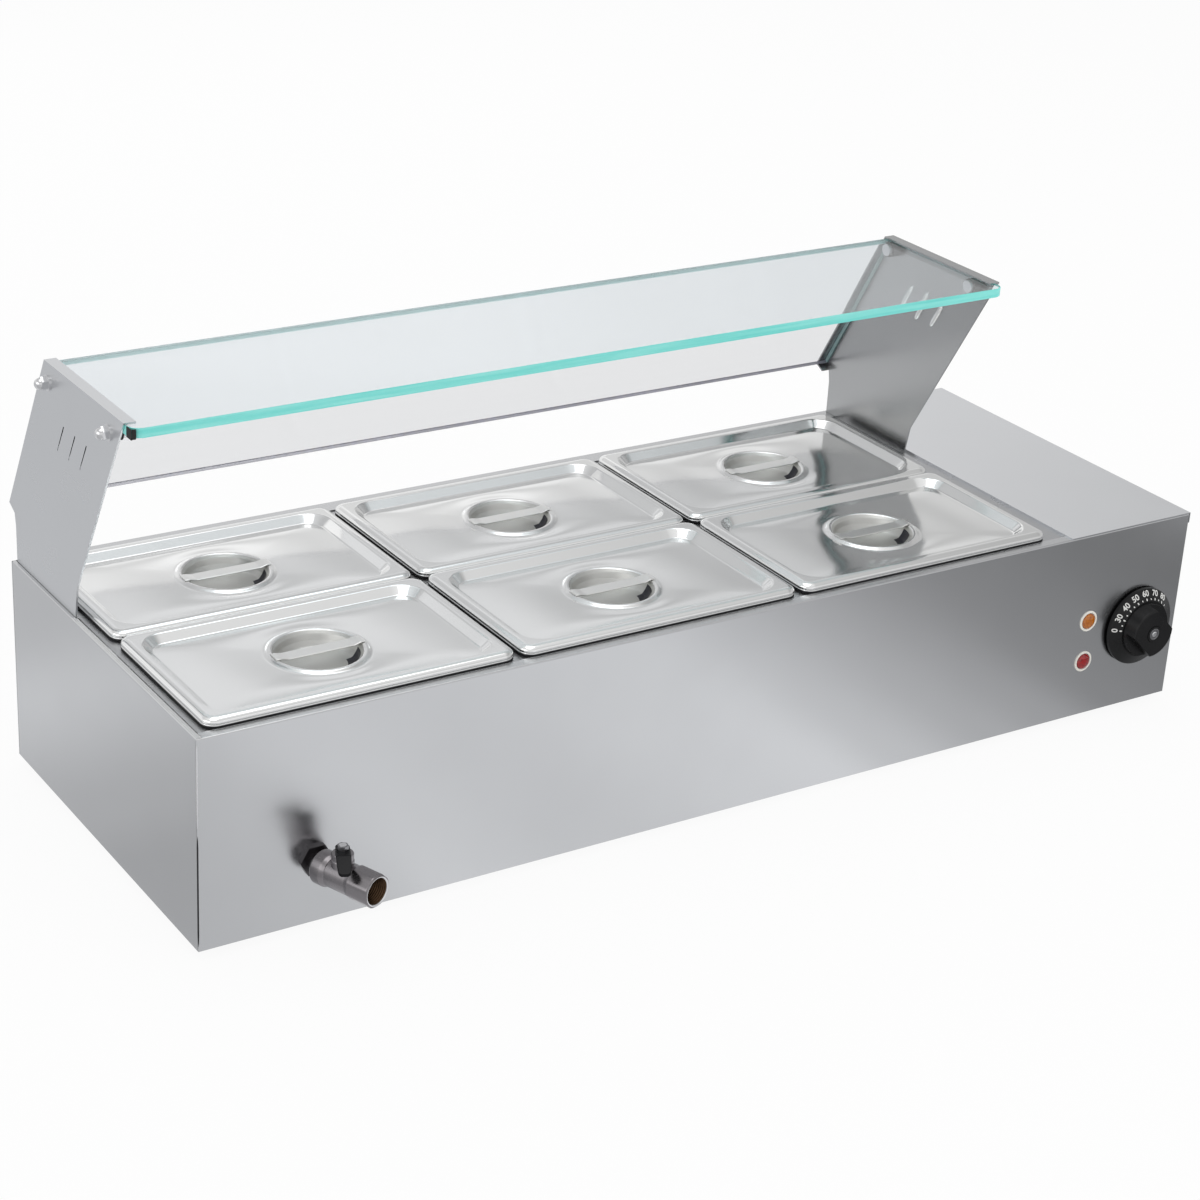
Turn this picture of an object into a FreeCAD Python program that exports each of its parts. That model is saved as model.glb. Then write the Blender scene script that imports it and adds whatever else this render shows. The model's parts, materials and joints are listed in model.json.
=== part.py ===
import FreeCAD, Part
import math
import os
from FreeCAD import Vector

os.makedirs("parts", exist_ok=True)

# Electric bain-marie with six gastronorm pans, a glass guard, a thermostat and a drain tap.
# Millimetres. X runs right along the front, Y runs to the back, Z runs up.
# The origin is on the resting plane, under the middle of the whole object.

# Pans, lids and the grid that they stand in
pan_columns = 3
pan_rows = 2
pan_length = 265.0
pan_width = 162.0
pan_depth = 100.0
pan_sheet = 0.8
pan_flange = 12.0
pan_rim_height = 3.0
pan_rim_nose = 0.9
pan_corner_radius = 11.0
pan_mouth_radius = 22.0
pan_taper = 7.0
pan_floor_chamfer = 6.0
column_gap = 6.0
row_gap = 2.6
seat_gap = 0.3
lid_rim_height = 4.6
lid_nose = 1.8
lid_flange = 9.5
lid_mouth_radius = 22.0
lid_step_run = 9.0
lid_step_depth = 6.5

# Dish and strap handle in each lid
dish_ring_radius = 37.5
dish_ring_half = 2.8
dish_crest_half = 1.0
dish_ring_rise = 2.2
dish_mouth_radius = 33.5
dish_floor_radius = 25.0
dish_depth = 11.0
strap_width = 13.0
strap_sheet = 1.2
strap_ramp = 6.0

# Cabinet
sheet = 1.0
shell_height = 179.0
left_margin = 12.7
right_margin = 19.8
front_margin = 10.6
rear_margin = 18.8
control_width = 139.5
bend_radius = 1.4
panel_return = 12.0
side_lip = 3.2
fit = 0.3
ledge_width = 8.0
ledge_lip = 10.0
well_corner_radius = 7.0
cover_overhang = 1.5
cover_lip = 9.0
cover_rest = 10.0
tank_depth = 140.0
tank_flange = 7.0
tank_floor_chamfer = 6.0
bar_height = 14.0

# Feet and their screws
foot_height = 8.0
foot_radius = 15.0
foot_inset = 28.0
foot_screw_radius = 2.5
screw_head_radius = 4.5
screw_head_height = 2.6
running_gap = 0.05

# Glass guard
guard_sheet = 1.5
guard_height = 199.0
guard_top_front = 228.0
guard_top_back = 77.0
guard_corner_past = 9.0
guard_corner_height = 48.0
guard_tab_run = 11.0
guard_tab_drop = 5.5
guard_foot_front = 125.0
guard_foot_back = 4.0
guard_bend_front = 130.0
guard_bend_height = 27.0
guard_foot_depth = 18.0
guard_flange = 10.0
guard_inset_right = 5.5
top_glass_thickness = 8.0
rear_glass_thickness = 5.0
glass_overhang = 10.0
glass_corner_radius = 9.0
glass_fit = 0.2
sleeve_radius = 7.0
sleeve_length = 8.0
bolt_radius = 3.0
bolt_head_radius = 5.6
bolt_head_height = 3.0
front_bolt_back = 28.0
cap_nut_flats = 10.0
cap_nut_hex_height = 5.0
cap_washer_radius = 6.6
cap_washer_height = 1.2
guard_screw_radius = 2.0
guard_screw_inset = 25.0
slit_count = 3
slit_pitch = 22.0
slit_length = 29.0
slit_width = 3.2
slit_first = 158.0
slit_height = 156.0

# Thermostat, lamps and the parts behind the control panel
knob_inset = 47.0
knob_height = 78.5
dial_radius = 37.0
dial_rim = 3.0
dial_cone_radius = 27.0
dial_cone_height = 9.0
grip_radius = 25.5
grip_top_radius = 23.0
grip_length = 13.0
grip_half_width = 16.5
grip_flat_base = 3.5
grip_turn = -45.0
panel_clearance = 0.6
spindle_radius = 3.0
spindle_flat = 0.8
thermostat_length = 52.0
thermostat_width = 36.0
thermostat_depth = 30.0
bush_radius = 5.0
bush_length = 8.0
lamp_inset = 107.5
amber_height = 94.0
red_height = 54.0
lamp_radius = 8.0
bezel_radius = 9.8
bezel_wall = 1.1
bezel_height = 2.2
lamp_body_length = 28.0
terminal_length = 60.0
terminal_width = 22.0
terminal_height = 16.0
terminal_ways = 3
terminal_inset = 60.0
gland_radius = 7.0
gland_bore_radius = 4.0
gland_height = 36.0
gland_inset = 40.0
gland_collar = 5.0
gland_reach = 14.0
bulb_radius = 3.0
bulb_length = 90.0
bulb_end_gap = 40.0
capillary_radius = 1.0
vent_count = 7
vent_length = 34.0
vent_width = 4.0
vent_pitch = 10.0

# Heating element in the tank
element_radius = 4.0
element_spacing = 160.0
element_height = 18.0
element_end_gap = 60.0
element_flange_radius = 12.0
element_flange_height = 3.0
stud_radius = 2.0
stud_length = 30.0
element_nut_flats = 17.0
element_nut_height = 5.0
saddle_width = 10.0
saddle_reach = 12.0

# Drain tap
tap_offset = 97.3
tap_rise = 17.5
tap_turn = 20.0
pipe_radius = 8.0
pipe_bore = 5.0
joint_ball_radius = 11.0
joint_reach = 13.0
tap_gap = 6.0
tap_body_radius = 12.5
tap_flats = 26.0
tap_outlet_length = 22.0
tap_body_length = 27.0
tap_bore = 9.0
tap_seat_bore = 5.0
tap_ball_radius = 8.0
stem_radius = 3.0
stem_boss_radius = 9.0
stem_boss_height = 20.0
lever_turn = -44.0
lever_thickness = 2.5
lever_length = 27.0
lever_drop = 6.4
lever_bend = 9.6
lever_hub_radius = 8.0
lever_shoulder = 8.6
lever_tip = 5.6
lever_nut_flats = 8.0
lever_nut_height = 3.5
lock_nut_flats = 22.0
lock_nut_height = 5.0

# Places that follow from the sizes above
grid_length = pan_columns * pan_length + (pan_columns - 1) * column_gap
grid_depth = pan_rows * pan_width + (pan_rows - 1) * row_gap
length = left_margin + grid_length + right_margin + control_width
depth = front_margin + grid_depth + rear_margin
cap_dome_radius = cap_nut_flats * 0.48
reach_left = cap_washer_height + cap_nut_hex_height + cap_dome_radius - side_lip - fit
reach_right = cover_overhang
tap_run = tap_gap + tap_body_length + tap_outlet_length
tap_angle = math.radians(tap_turn)
reach_front = joint_reach + tap_run * math.cos(tap_angle) + tap_flats / 2 * math.sin(tap_angle)
reach_rear = gland_reach
left = (reach_left - reach_right - length) / 2
right = left + length
front = (reach_front - reach_rear - depth) / 2
rear = front + depth
middle_y = front + depth / 2
shell_bottom = foot_height
deck_top = shell_bottom + shell_height
flange_bottom = deck_top - sheet
ledge_top = flange_bottom
grid_left = left + left_margin
grid_right = grid_left + grid_length
grid_front = front + front_margin
grid_rear = grid_front + grid_depth
control_left = right - control_width
well_left = grid_left + ledge_width
well_right = grid_right - ledge_width
well_front = grid_front + ledge_width
well_rear = grid_rear - ledge_width
groove_end = left + side_lip + fit + guard_sheet + fit
guard_left = left + side_lip + fit
guard_right = control_left - guard_inset_right
tank_wall_gap = sheet + fit
tank_left = well_left - tank_wall_gap
tank_right = well_right + tank_wall_gap
tank_front = well_front - tank_wall_gap
tank_rear = well_rear + tank_wall_gap
tank_top = ledge_top - sheet
tank_floor = tank_top - tank_depth
pan_rim_bottom = ledge_top + seat_gap
pan_rim_top = pan_rim_bottom + pan_rim_height
lid_rim_bottom = pan_rim_top + seat_gap
lid_top = lid_rim_bottom + lid_rim_height
lid_panel = lid_top - lid_step_depth
bulkhead_left = guard_right + fit


def box(x0, x1, y0, y1, z0, z1):
    return Part.makeBox(x1 - x0, y1 - y0, z1 - z0, Vector(x0, y0, z0))


def rod(radius, start, end):
    start = Vector(*start)
    run = Vector(*end) - start
    return Part.makeCylinder(radius, run.Length, start, run)


def cone(radius_start, radius_end, start, end):
    start = Vector(*start)
    run = Vector(*end) - start
    return Part.makeCone(radius_start, radius_end, run.Length, start, run)


def outline(x0, x1, y0, y1, radius, z):
    """Closed rectangle with round corners, lying flat at height z."""
    quarter = math.sqrt(0.5) * radius
    corners = [(x1 - radius, y0 + radius, -1), (x1 - radius, y1 - radius, 0),
               (x0 + radius, y1 - radius, 1), (x0 + radius, y0 + radius, 2)]
    arcs = []
    for cx, cy, turn in corners:
        points = []
        for step in (0, 1, 2):
            angle = math.radians(turn * 90 + step * 45)
            points.append(Vector(cx + radius * math.cos(angle), cy + radius * math.sin(angle), z))
        arcs.append(Part.Arc(points[0], points[1], points[2]).toShape())
    edges = []
    for i, arc in enumerate(arcs):
        following = arcs[(i + 1) % 4]
        edges.append(arc)
        end = following.valueAt(following.FirstParameter)
        edges.append(Part.makeLine(arc.valueAt(arc.LastParameter), end))
    return Part.Wire(edges)


def slab(x0, x1, y0, y1, radius, z0, z1):
    """Block with round upright corners."""
    return Part.Face(outline(x0, x1, y0, y1, radius, z0)).extrude(Vector(0, 0, z1 - z0))


def pressed(x0, x1, y0, y1, centre, profile):
    """Profile of (inset, height) points carried round a rectangle, with round corners.

    The corners turn about points that lie the centre distance inside both sides.
    """
    x_low = x0 + centre
    x_high = x1 - centre
    y_low = y0 + centre
    y_high = y1 - centre
    corners = [Vector(centre - inset, 0, z) for inset, z in profile]
    face = Part.Face(Part.makePolygon(corners + corners[:1]))
    quarter = face.revolve(Vector(0, 0, 0), Vector(0, 0, 1), 90)
    parts = []
    runs = [(x_high, y_low, -90, y_high - y_low), (x_high, y_high, 0, x_high - x_low),
            (x_low, y_high, 90, y_high - y_low), (x_low, y_low, 180, x_high - x_low)]
    for cx, cy, turn, run in runs:
        corner = quarter.copy()
        corner.rotate(Vector(0, 0, 0), Vector(0, 0, 1), turn)
        corner.translate(Vector(cx, cy, 0))
        side = face.extrude(Vector(0, run, 0))
        side.rotate(Vector(0, 0, 0), Vector(0, 0, 1), turn + 90)
        side.translate(Vector(cx, cy, 0))
        parts += [corner, side]
    return parts


def side_plate(points, x0, x1):
    """Flat plate whose outline is given in Y and Z, from x0 to x1."""
    corners = [Vector(x0, y, z) for y, z in points]
    return Part.Face(Part.makePolygon(corners + corners[:1])).extrude(Vector(x1 - x0, 0, 0))


def turned(points, centre, direction):
    """Solid of revolution from (radius, height) points, standing at centre along direction."""
    corners = [Vector(radius, 0, height) for radius, height in points]
    face = Part.Face(Part.makePolygon(corners + corners[:1]))
    solid = face.revolve(Vector(0, 0, 0), Vector(0, 0, 1), 360)
    turn = FreeCAD.Rotation(Vector(0, 0, 1), Vector(*direction))
    solid.Placement = FreeCAD.Placement(Vector(*centre), turn)
    return solid


def hexagon(flats, start, end, turn=0.0):
    """Hexagonal bar across its flats from start to end."""
    start = Vector(*start)
    run = Vector(*end) - start
    reach = flats / math.sqrt(3)
    corners = []
    for side in range(6):
        angle = math.radians(turn + side * 60)
        corners.append(Vector(reach * math.cos(angle), reach * math.sin(angle), 0))
    bar = Part.Face(Part.makePolygon(corners + corners[:1])).extrude(Vector(0, 0, run.Length))
    bar.Placement = FreeCAD.Placement(start, FreeCAD.Rotation(Vector(0, 0, 1), run))
    return bar


def joined(shapes):
    solid = shapes[0].fuse(shapes[1:]) if len(shapes) > 1 else shapes[0]
    return solid.removeSplitter()


def less(solid, cutters):
    return solid.cut(cutters)


def rounded(solid, radius, chosen):
    """Fillets the edges that the test chooses."""
    return solid.makeFillet(radius, [edge for edge in solid.Edges if chosen(edge)])


def lies_on(edge, **planes):
    """True where every end of the edge has the given coordinates."""
    for vertex in edge.Vertexes:
        for axis, value in planes.items():
            if abs(getattr(vertex, axis) - value) > 0.01:
                return False
    return True


def save(node, shape):
    shape.exportStep("parts/" + node + ".step")


# Drain tap places, used by the tank and the front panel too
tap_x = left + tap_offset
tap_z = tank_floor + tap_rise
knob_x = right - knob_inset
knob_z = shell_bottom + knob_height
lamp_x = right - lamp_inset
lamp_levels = [shell_bottom + amber_height, shell_bottom + red_height]
element_z = tank_floor + element_height
element_front = (tank_front + tank_rear - element_spacing) / 2
element_rows = [element_front, element_front + element_spacing]
foot_places = [(x, y) for x in (left + foot_inset, right - foot_inset)
               for y in (front + foot_inset, rear - foot_inset)]
gland_x = right - gland_inset
gland_z = shell_bottom + gland_height
guard_screw_rows = [rear - guard_foot_front + guard_screw_inset, rear - guard_foot_back - guard_screw_inset]
guard_screw_z = deck_top - guard_foot_depth / 2


def long_panel(outer, inward, flange_width):
    """Front or rear panel: web, folded top and bottom flanges and upright returns at its ends."""
    def strip(x0, x1, reach0, reach1, z0, z1):
        ends = sorted((outer + inward * reach0, outer + inward * reach1))
        return box(x0, x1, ends[0], ends[1], z0, z1)
    web = strip(left, right, 0, sheet, shell_bottom, deck_top)
    top = strip(groove_end, right - cover_rest - fit, 0, flange_width, flange_bottom, deck_top)
    bottom_top = shell_bottom + sheet
    bottom = strip(left + sheet + fit, right - sheet - fit, 0, panel_return, shell_bottom, bottom_top)
    low = shell_bottom
    high = flange_bottom - fit
    left_return = strip(left + sheet + fit, left + 2 * sheet + fit, 0, panel_return, low, high)
    right_return = strip(right - 2 * sheet - fit, right - sheet - fit, 0, panel_return, low, high)
    panel = joined([web, top, bottom, left_return, right_return])
    return rounded(panel, bend_radius, lambda edge: lies_on(edge, Y=outer, Z=deck_top))


def front_panel():
    panel = long_panel(front, 1, front_margin - sheet)
    bush_hole = bush_radius + panel_clearance
    spindle_hole = rod(bush_hole, (knob_x, front - 1, knob_z), (knob_x, front + 5, knob_z))
    lamp_holes = [rod(lamp_radius + running_gap, (lamp_x, front - 1, z), (lamp_x, front + 5, z))
                  for z in lamp_levels]
    tap_hole = rod(pipe_radius + panel_clearance, (tap_x, front - 1, tap_z), (tap_x, front + 5, tap_z))
    return less(panel, [spindle_hole, tap_hole] + lamp_holes)


def guard_slot(x0):
    y0 = rear - guard_foot_front - fit
    y1 = rear - guard_foot_back + fit
    return box(x0 - fit, x0 + guard_sheet + fit, y0, y1, tank_top - guard_foot_depth, deck_top + 1)


def rear_panel():
    panel = long_panel(rear, -1, rear_margin - sheet)
    gland_hole = rod(gland_radius + running_gap, (gland_x, rear - 5, gland_z), (gland_x, rear + 1, gland_z))
    return less(panel, [gland_hole, guard_slot(guard_right - guard_sheet)])


def side_panel(outer, inward, lip_width):
    """Left or right panel, between the front and the rear one."""
    def strip(reach0, reach1, y0, y1, z0, z1):
        ends = sorted((outer + inward * reach0, outer + inward * reach1))
        return box(ends[0], ends[1], y0, y1, z0, z1)
    y0 = front + sheet + fit
    y1 = rear - sheet - fit
    web = strip(0, sheet, y0, y1, shell_bottom, deck_top)
    top = strip(0, lip_width, y0, y1, flange_bottom, deck_top)
    bottom_y0 = front + panel_return + fit
    bottom_y1 = rear - panel_return - fit
    bottom = strip(0, panel_return, bottom_y0, bottom_y1, shell_bottom, shell_bottom + sheet)
    panel = joined([web, top, bottom])
    return rounded(panel, bend_radius, lambda edge: lies_on(edge, X=outer, Z=deck_top))


def vent_cuts():
    """Slots in the base under the control box."""
    cuts = []
    first = (control_left + right) / 2 - (vent_count - 1) * vent_pitch / 2
    y0 = middle_y - vent_length / 2
    for i in range(vent_count):
        x = first + i * vent_pitch
        half = vent_width / 2
        cuts.append(slab(x - half, x + half, y0, y0 + vent_length, half * 0.999,
                         shell_bottom, shell_bottom + 3 * sheet))
    return cuts


def base_plate():
    z0 = shell_bottom + sheet
    gap = sheet + fit
    inner = gap + sheet + fit
    tray = box(left + inner, right - inner, front + gap, rear - gap, z0, z0 + sheet)
    corner = panel_return - gap + fit
    walls = []
    for y0 in (front + panel_return + fit, rear - panel_return - fit - sheet):
        walls.append(box(left + inner, right - inner, y0, y0 + sheet, z0, z0 + panel_return))
    hole = foot_screw_radius + running_gap
    screw_holes = [rod(hole, (x, y, z0 - 1), (x, y, z0 + 5)) for x, y in foot_places]
    return less(joined([tray] + walls), screw_holes + vent_cuts())


def deck_frame():
    """Top sheet round the well, with a lip turned down into it and stiffening edges."""
    x0 = groove_end
    x1 = control_left + cover_rest
    y0 = front + sheet + fit
    y1 = rear - sheet - fit
    top = box(x0, x1, y0, y1, tank_top, ledge_top)
    edge_bottom = tank_top - guard_foot_depth
    left_edge = box(x0, x0 + sheet, y0 + panel_return, y1 - panel_return, edge_bottom, ledge_top)
    lip_outer = slab(well_left - sheet, well_right + sheet, well_front - sheet, well_rear + sheet,
                     well_corner_radius + sheet, ledge_top - ledge_lip, tank_top)
    frame = joined([top, left_edge, lip_outer])
    well_bottom = ledge_top - 2 * ledge_lip
    well = slab(well_left, well_right, well_front, well_rear, well_corner_radius, well_bottom, deck_top)
    hole = guard_screw_radius + running_gap
    screw_holes = [rod(hole, (x0 - 1, y, guard_screw_z), (x0 + 5, y, guard_screw_z))
                   for y in guard_screw_rows]
    return less(frame, [well, guard_slot(guard_right - guard_sheet)] + screw_holes)


def element_saddles():
    """Saddles welded on the tank floor that carry the heating loop."""
    saddles = []
    places = [grid_left + pan_length * 0.75, grid_left + grid_length * 0.5, grid_right - pan_length * 0.5]
    for x in places:
        base_y0 = element_rows[0] - saddle_reach
        base_y1 = element_rows[1] + saddle_reach
        base = box(x, x + saddle_width, base_y0, base_y1, tank_floor, tank_floor + sheet)
        parts = [base]
        for y in element_rows:
            top_z = element_z - element_radius * 0.5
            parts.append(box(x, x + saddle_width, y - 7, y + 7, tank_floor, top_z))
        saddle = joined(parts)
        way = element_radius + running_gap
        tubes = [rod(way, (x - 1, y, element_z), (x + saddle_width + 1, y, element_z))
                 for y in element_rows]
        saddles.append(less(saddle, tubes))
    return saddles


def bulb_clip():
    """Clip welded under the tank floor, which holds the bulb."""
    z_top = tank_floor - sheet
    z_axis = z_top - bulb_radius - fit
    x = bulkhead_left - bulb_end_gap - bulb_length * 0.6
    r = bulb_radius + fit
    y = middle_y
    outer = box(x, x + 16, y - r - 1, y + r + 1, z_axis - r - 1, z_top)
    wings = box(x, x + 16, y - r - 9, y + r + 9, z_top - 1, z_top)
    inner = rod(r, (x - 1, y, z_axis), (x + 17, y, z_axis))
    throat = box(x - 1, x + 17, y - r, y + r, z_axis, z_top + 1)
    return less(joined([outer, wings]), [inner, throat])


def water_tank():
    """Pressed tank with a flange round its mouth, chamfered floor edges and holes in two walls."""
    centre = well_corner_radius + tank_wall_gap
    cut = tank_floor_chamfer
    outer_cut = cut + sheet * 0.4
    profile = [(-tank_flange, tank_top - sheet), (-sheet, tank_top - sheet),
               (-sheet, tank_floor - sheet + outer_cut),
               (outer_cut - sheet, tank_floor - sheet), (centre, tank_floor - sheet), (centre, tank_floor),
               (cut, tank_floor), (0, tank_floor + cut), (0, tank_top), (-tank_flange, tank_top)]
    floor = box(tank_left + centre, tank_right - centre, tank_front + centre, tank_rear - centre,
                tank_floor - sheet, tank_floor)
    walls = pressed(tank_left, tank_right, tank_front, tank_rear, centre, profile)
    tank = joined([floor] + walls + [bulb_clip()] + element_saddles())
    tap_hole = rod(pipe_radius + running_gap, (tap_x, tank_front - 5, tap_z), (tap_x, tank_front + 5, tap_z))
    way = element_radius + running_gap
    element_holes = [rod(way, (tank_right - 5, y, element_z), (tank_right + 5, y, element_z))
                     for y in element_rows]
    return less(tank, [tap_hole] + element_holes)


def channel(x0, x1, y0, y1):
    """Bar of bent sheet, open below, whose top carries the pan rims."""
    solid = box(x0, x1, y0, y1, ledge_top - bar_height, ledge_top)
    if x1 - x0 < y1 - y0:
        core = box(x0 + sheet, x1 - sheet, y0, y1, ledge_top - bar_height, ledge_top - sheet)
    else:
        core = box(x0, x1, y0 + sheet, y1 - sheet, ledge_top - bar_height, ledge_top - sheet)
    return solid.cut(core)


def pan_grid():
    """Welded grid: a bar under each gap between columns, and lengthwise bars between them."""
    half = column_gap / 2 + ledge_width
    bars = []
    for i in range(1, pan_columns):
        x = grid_left + i * (pan_length + column_gap) - column_gap / 2
        bars.append(channel(x - half, x + half, well_front, well_rear))
    bar_half = half
    half = row_gap / 2 + ledge_width
    for j in range(1, pan_rows):
        y = grid_front + j * (pan_width + row_gap) - row_gap / 2
        for i in range(pan_columns):
            x0 = grid_left + i * (pan_length + column_gap) - column_gap / 2 + bar_half
            x1 = grid_left + (i + 1) * (pan_length + column_gap) - column_gap / 2 - bar_half
            bars.append(channel(max(x0, well_left), min(x1, well_right), y - half, y + half))
    return joined(bars)


def control_cover():
    x1 = right + cover_overhang
    inner_lip_y0 = front + front_margin - sheet + fit
    inner_lip_y1 = rear - rear_margin + sheet - fit
    top = box(control_left, x1, front, rear, deck_top, deck_top + sheet)
    lip = box(x1 - sheet, x1, front, rear, deck_top - cover_lip, deck_top)
    hem = box(control_left, control_left + sheet, inner_lip_y0, inner_lip_y1, ledge_top, deck_top)
    cover = joined([top, lip, hem])
    edge_height = deck_top + sheet
    return rounded(cover, sheet * 0.6, lambda edge: lies_on(edge, X=x1, Z=edge_height))


def bulkhead():
    """Wall between the tank and the control box, standing on the base."""
    x0 = bulkhead_left
    z0 = shell_bottom + 2 * sheet
    y0 = front + panel_return + 2 * sheet + fit
    y1 = rear - panel_return - 2 * sheet - fit
    wall = box(x0, x0 + sheet, y0, y1, z0, tank_top)
    foot = box(x0, x0 + panel_return, y0, y1, z0, z0 + sheet)
    wall = joined([wall, foot])
    cuts = [rod(element_nut_flats, (x0 - 1, y, element_z), (x0 + 5, y, element_z)) for y in element_rows]
    cuts += [rod(guard_screw_radius + running_gap, (x0 - 1, y, guard_screw_z), (x0 + 5, y, guard_screw_z))
             for y in guard_screw_rows]
    capillary_z = tank_floor - sheet - bulb_radius - fit
    capillary_hole = capillary_radius + panel_clearance
    cuts.append(rod(capillary_hole, (x0 - 1, middle_y, capillary_z), (x0 + 5, middle_y, capillary_z)))
    return less(wall, cuts)


def feet():
    base = shell_bottom + sheet
    bore = foot_screw_radius + running_gap
    pocket = screw_head_radius + 1.0
    pocket_top = screw_head_height + 1.6
    points = [(pocket, 0), (foot_radius - 1.5, 0), (foot_radius, 2), (foot_radius, base),
              (bore, base), (bore, pocket_top), (pocket, pocket_top)]
    return Part.makeCompound([turned(points, (x, y, 0), (0, 0, 1)) for x, y in foot_places])


def foot_screws():
    """Pan-headed screw up through each foot, with its nut on the base plate."""
    screws = []
    head_top = screw_head_height + 1.6
    nut_bottom = shell_bottom + 2 * sheet
    for x, y in foot_places:
        head = rod(screw_head_radius, (x, y, head_top - screw_head_height), (x, y, head_top))
        shank = rod(foot_screw_radius, (x, y, head_top), (x, y, nut_bottom + 6))
        nut = hexagon(8.0, (x, y, nut_bottom), (x, y, nut_bottom + 4))
        screws.append(joined([head, shank, nut]))
    return Part.makeCompound(screws)


def flange_ring(x, y, mouth_inset, mouth_radius, top_z, rim_bottom, nose):
    """Flat flange round a mouth, with its outer edge turned down over a rounded nose."""
    x1 = x + pan_length
    y1 = y + pan_width
    t = pan_sheet
    rim = [(0, rim_bottom), (0, top_z - nose), (nose * 0.3, top_z - nose * 0.3), (nose, top_z),
           (pan_corner_radius, top_z), (pan_corner_radius, top_z - t), (nose + t * 0.4, top_z - t),
           (t, top_z - nose - t * 0.4), (t, rim_bottom)]
    edge = pressed(x, x1, y, y1, pan_corner_radius, rim)
    flat = slab(x + nose + t, x1 - nose - t, y + nose + t, y1 - nose - t, pan_corner_radius - nose - t,
                top_z - t, top_z)
    mouth = slab(x + mouth_inset, x1 - mouth_inset, y + mouth_inset, y1 - mouth_inset, mouth_radius,
                 top_z - 2 * t, top_z + t)
    return joined([flat] + edge).cut(mouth)


def pan(x, y):
    """Pan with a flat rim, turned down all round, and tapered walls."""
    x1 = x + pan_length
    y1 = y + pan_width
    t = pan_sheet
    centre = pan_flange + pan_mouth_radius
    floor = pan_rim_top - pan_depth
    foot = pan_flange + pan_taper
    cut = pan_floor_chamfer
    lip = 1.2
    inner = [(pan_flange - lip, pan_rim_top), (pan_flange, pan_rim_top - lip), (foot, floor + cut),
             (foot + cut, floor), (centre, floor)]
    outer = [(centre, floor - t), (foot + cut - t * 0.4, floor - t), (foot - t, floor + cut - t * 0.4),
             (pan_flange - t, pan_rim_top - t - lip), (pan_flange - lip, pan_rim_top - t)]
    base = box(x + centre, x1 - centre, y + centre, y1 - centre, floor - t, floor)
    mouth = pan_mouth_radius + lip
    flange = flange_ring(x, y, pan_flange - lip, mouth, pan_rim_top, pan_rim_bottom, pan_rim_nose)
    return joined([base, flange] + pressed(x, x1, y, y1, centre, inner + outer))


def lid_dish(centre):
    """Round dish pressed into the lid's panel, with a raised ring that carries the strap."""
    t = pan_sheet
    ring_out = dish_ring_radius + dish_ring_half
    crest = dish_ring_rise
    half = dish_crest_half
    wall_foot = dish_floor_radius + 2.5
    turn = 0.85 * dish_depth
    inner = [(ring_out, 0), (dish_ring_radius + half, crest), (dish_ring_radius - half, crest),
             (dish_mouth_radius, -1.0), (wall_foot, -turn),
             (dish_floor_radius, -dish_depth), (0, -dish_depth)]
    outer = [(0, -dish_depth - t), (dish_floor_radius + t * 0.3, -dish_depth - t),
             (wall_foot + t * 0.9, -turn - t * 0.4),
             (dish_mouth_radius + t, -1.0 - t * 0.2), (dish_ring_radius - half * 0.4, crest - t),
             (dish_ring_radius + half * 0.4, crest - t), (ring_out, -t)]
    return turned(inner + outer, centre, (0, 0, 1))


def lid(x, y):
    """Lid with a turned-down rim, a stepped-down panel and a round dish for its handle."""
    x1 = x + pan_length
    y1 = y + pan_width
    t = pan_sheet
    centre = lid_flange + lid_mouth_radius
    start = lid_flange
    end = lid_flange + lid_step_run
    shoulder = start + lid_step_run * 0.22
    hollow = end - lid_step_run * 0.26
    low = lid_panel
    inner = [(start, lid_top), (shoulder, lid_top - 1.0), (hollow, low + 0.9), (end, low), (centre, low)]
    outer = [(centre, low - t), (end - t * 0.2, low - t), (hollow - t * 0.6, low + 0.9 - t * 0.8),
             (shoulder - t * 0.6, lid_top - 1.0 - t * 0.8), (start, lid_top - t)]
    panel = box(x + centre, x1 - centre, y + centre, y1 - centre, low - t, low)
    flange = flange_ring(x, y, lid_flange, lid_mouth_radius, lid_top, lid_rim_bottom, lid_nose)
    shell = joined([panel, flange] + pressed(x, x1, y, y1, centre, inner + outer))
    middle = ((x + x1) / 2, (y + y1) / 2, low)
    opening = rod(dish_ring_radius, (middle[0], middle[1], low - 1), (middle[0], middle[1], low + 1))
    return joined([shell.cut(opening), lid_dish(middle)])


def lid_handle(x, y):
    """Strap across the dish, with its ends welded on the ring."""
    cx = x + pan_length / 2
    cy = y + pan_width / 2
    foot = dish_ring_radius + 1.0
    inner = dish_ring_radius - 2.5
    low = inner - strap_ramp
    crest = lid_panel + dish_ring_rise
    drop = crest - 1.4
    t = strap_sheet
    under = [(-foot, crest), (-inner, crest), (-low, drop), (low, drop), (inner, crest), (foot, crest)]
    over = [(x0, z + t) for x0, z in reversed(under)]
    corners = [Vector(cx + x0, cy - strap_width / 2, z) for x0, z in under + over]
    face = Part.Face(Part.makePolygon(corners + corners[:1]))
    return face.extrude(Vector(0, strap_width, 0))


def guard_points():
    """Outline of a guard plate in Y and Z, from its foot up the front edge and down the back."""
    corner_y = rear + guard_corner_past
    corner_z = deck_top + guard_corner_height
    return [(rear - guard_foot_back, tank_top - guard_foot_depth + fit),
            (rear - guard_foot_front, tank_top - guard_foot_depth + fit),
            (rear - guard_foot_front, deck_top),
            (rear - guard_bend_front, deck_top + guard_bend_height),
            (rear - guard_top_front, deck_top + guard_height),
            (rear - guard_top_back, deck_top + guard_height),
            (corner_y, corner_z),
            (corner_y - guard_tab_run, corner_z - guard_tab_drop),
            (rear - guard_foot_back, corner_z - guard_tab_drop - guard_tab_run)]


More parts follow.
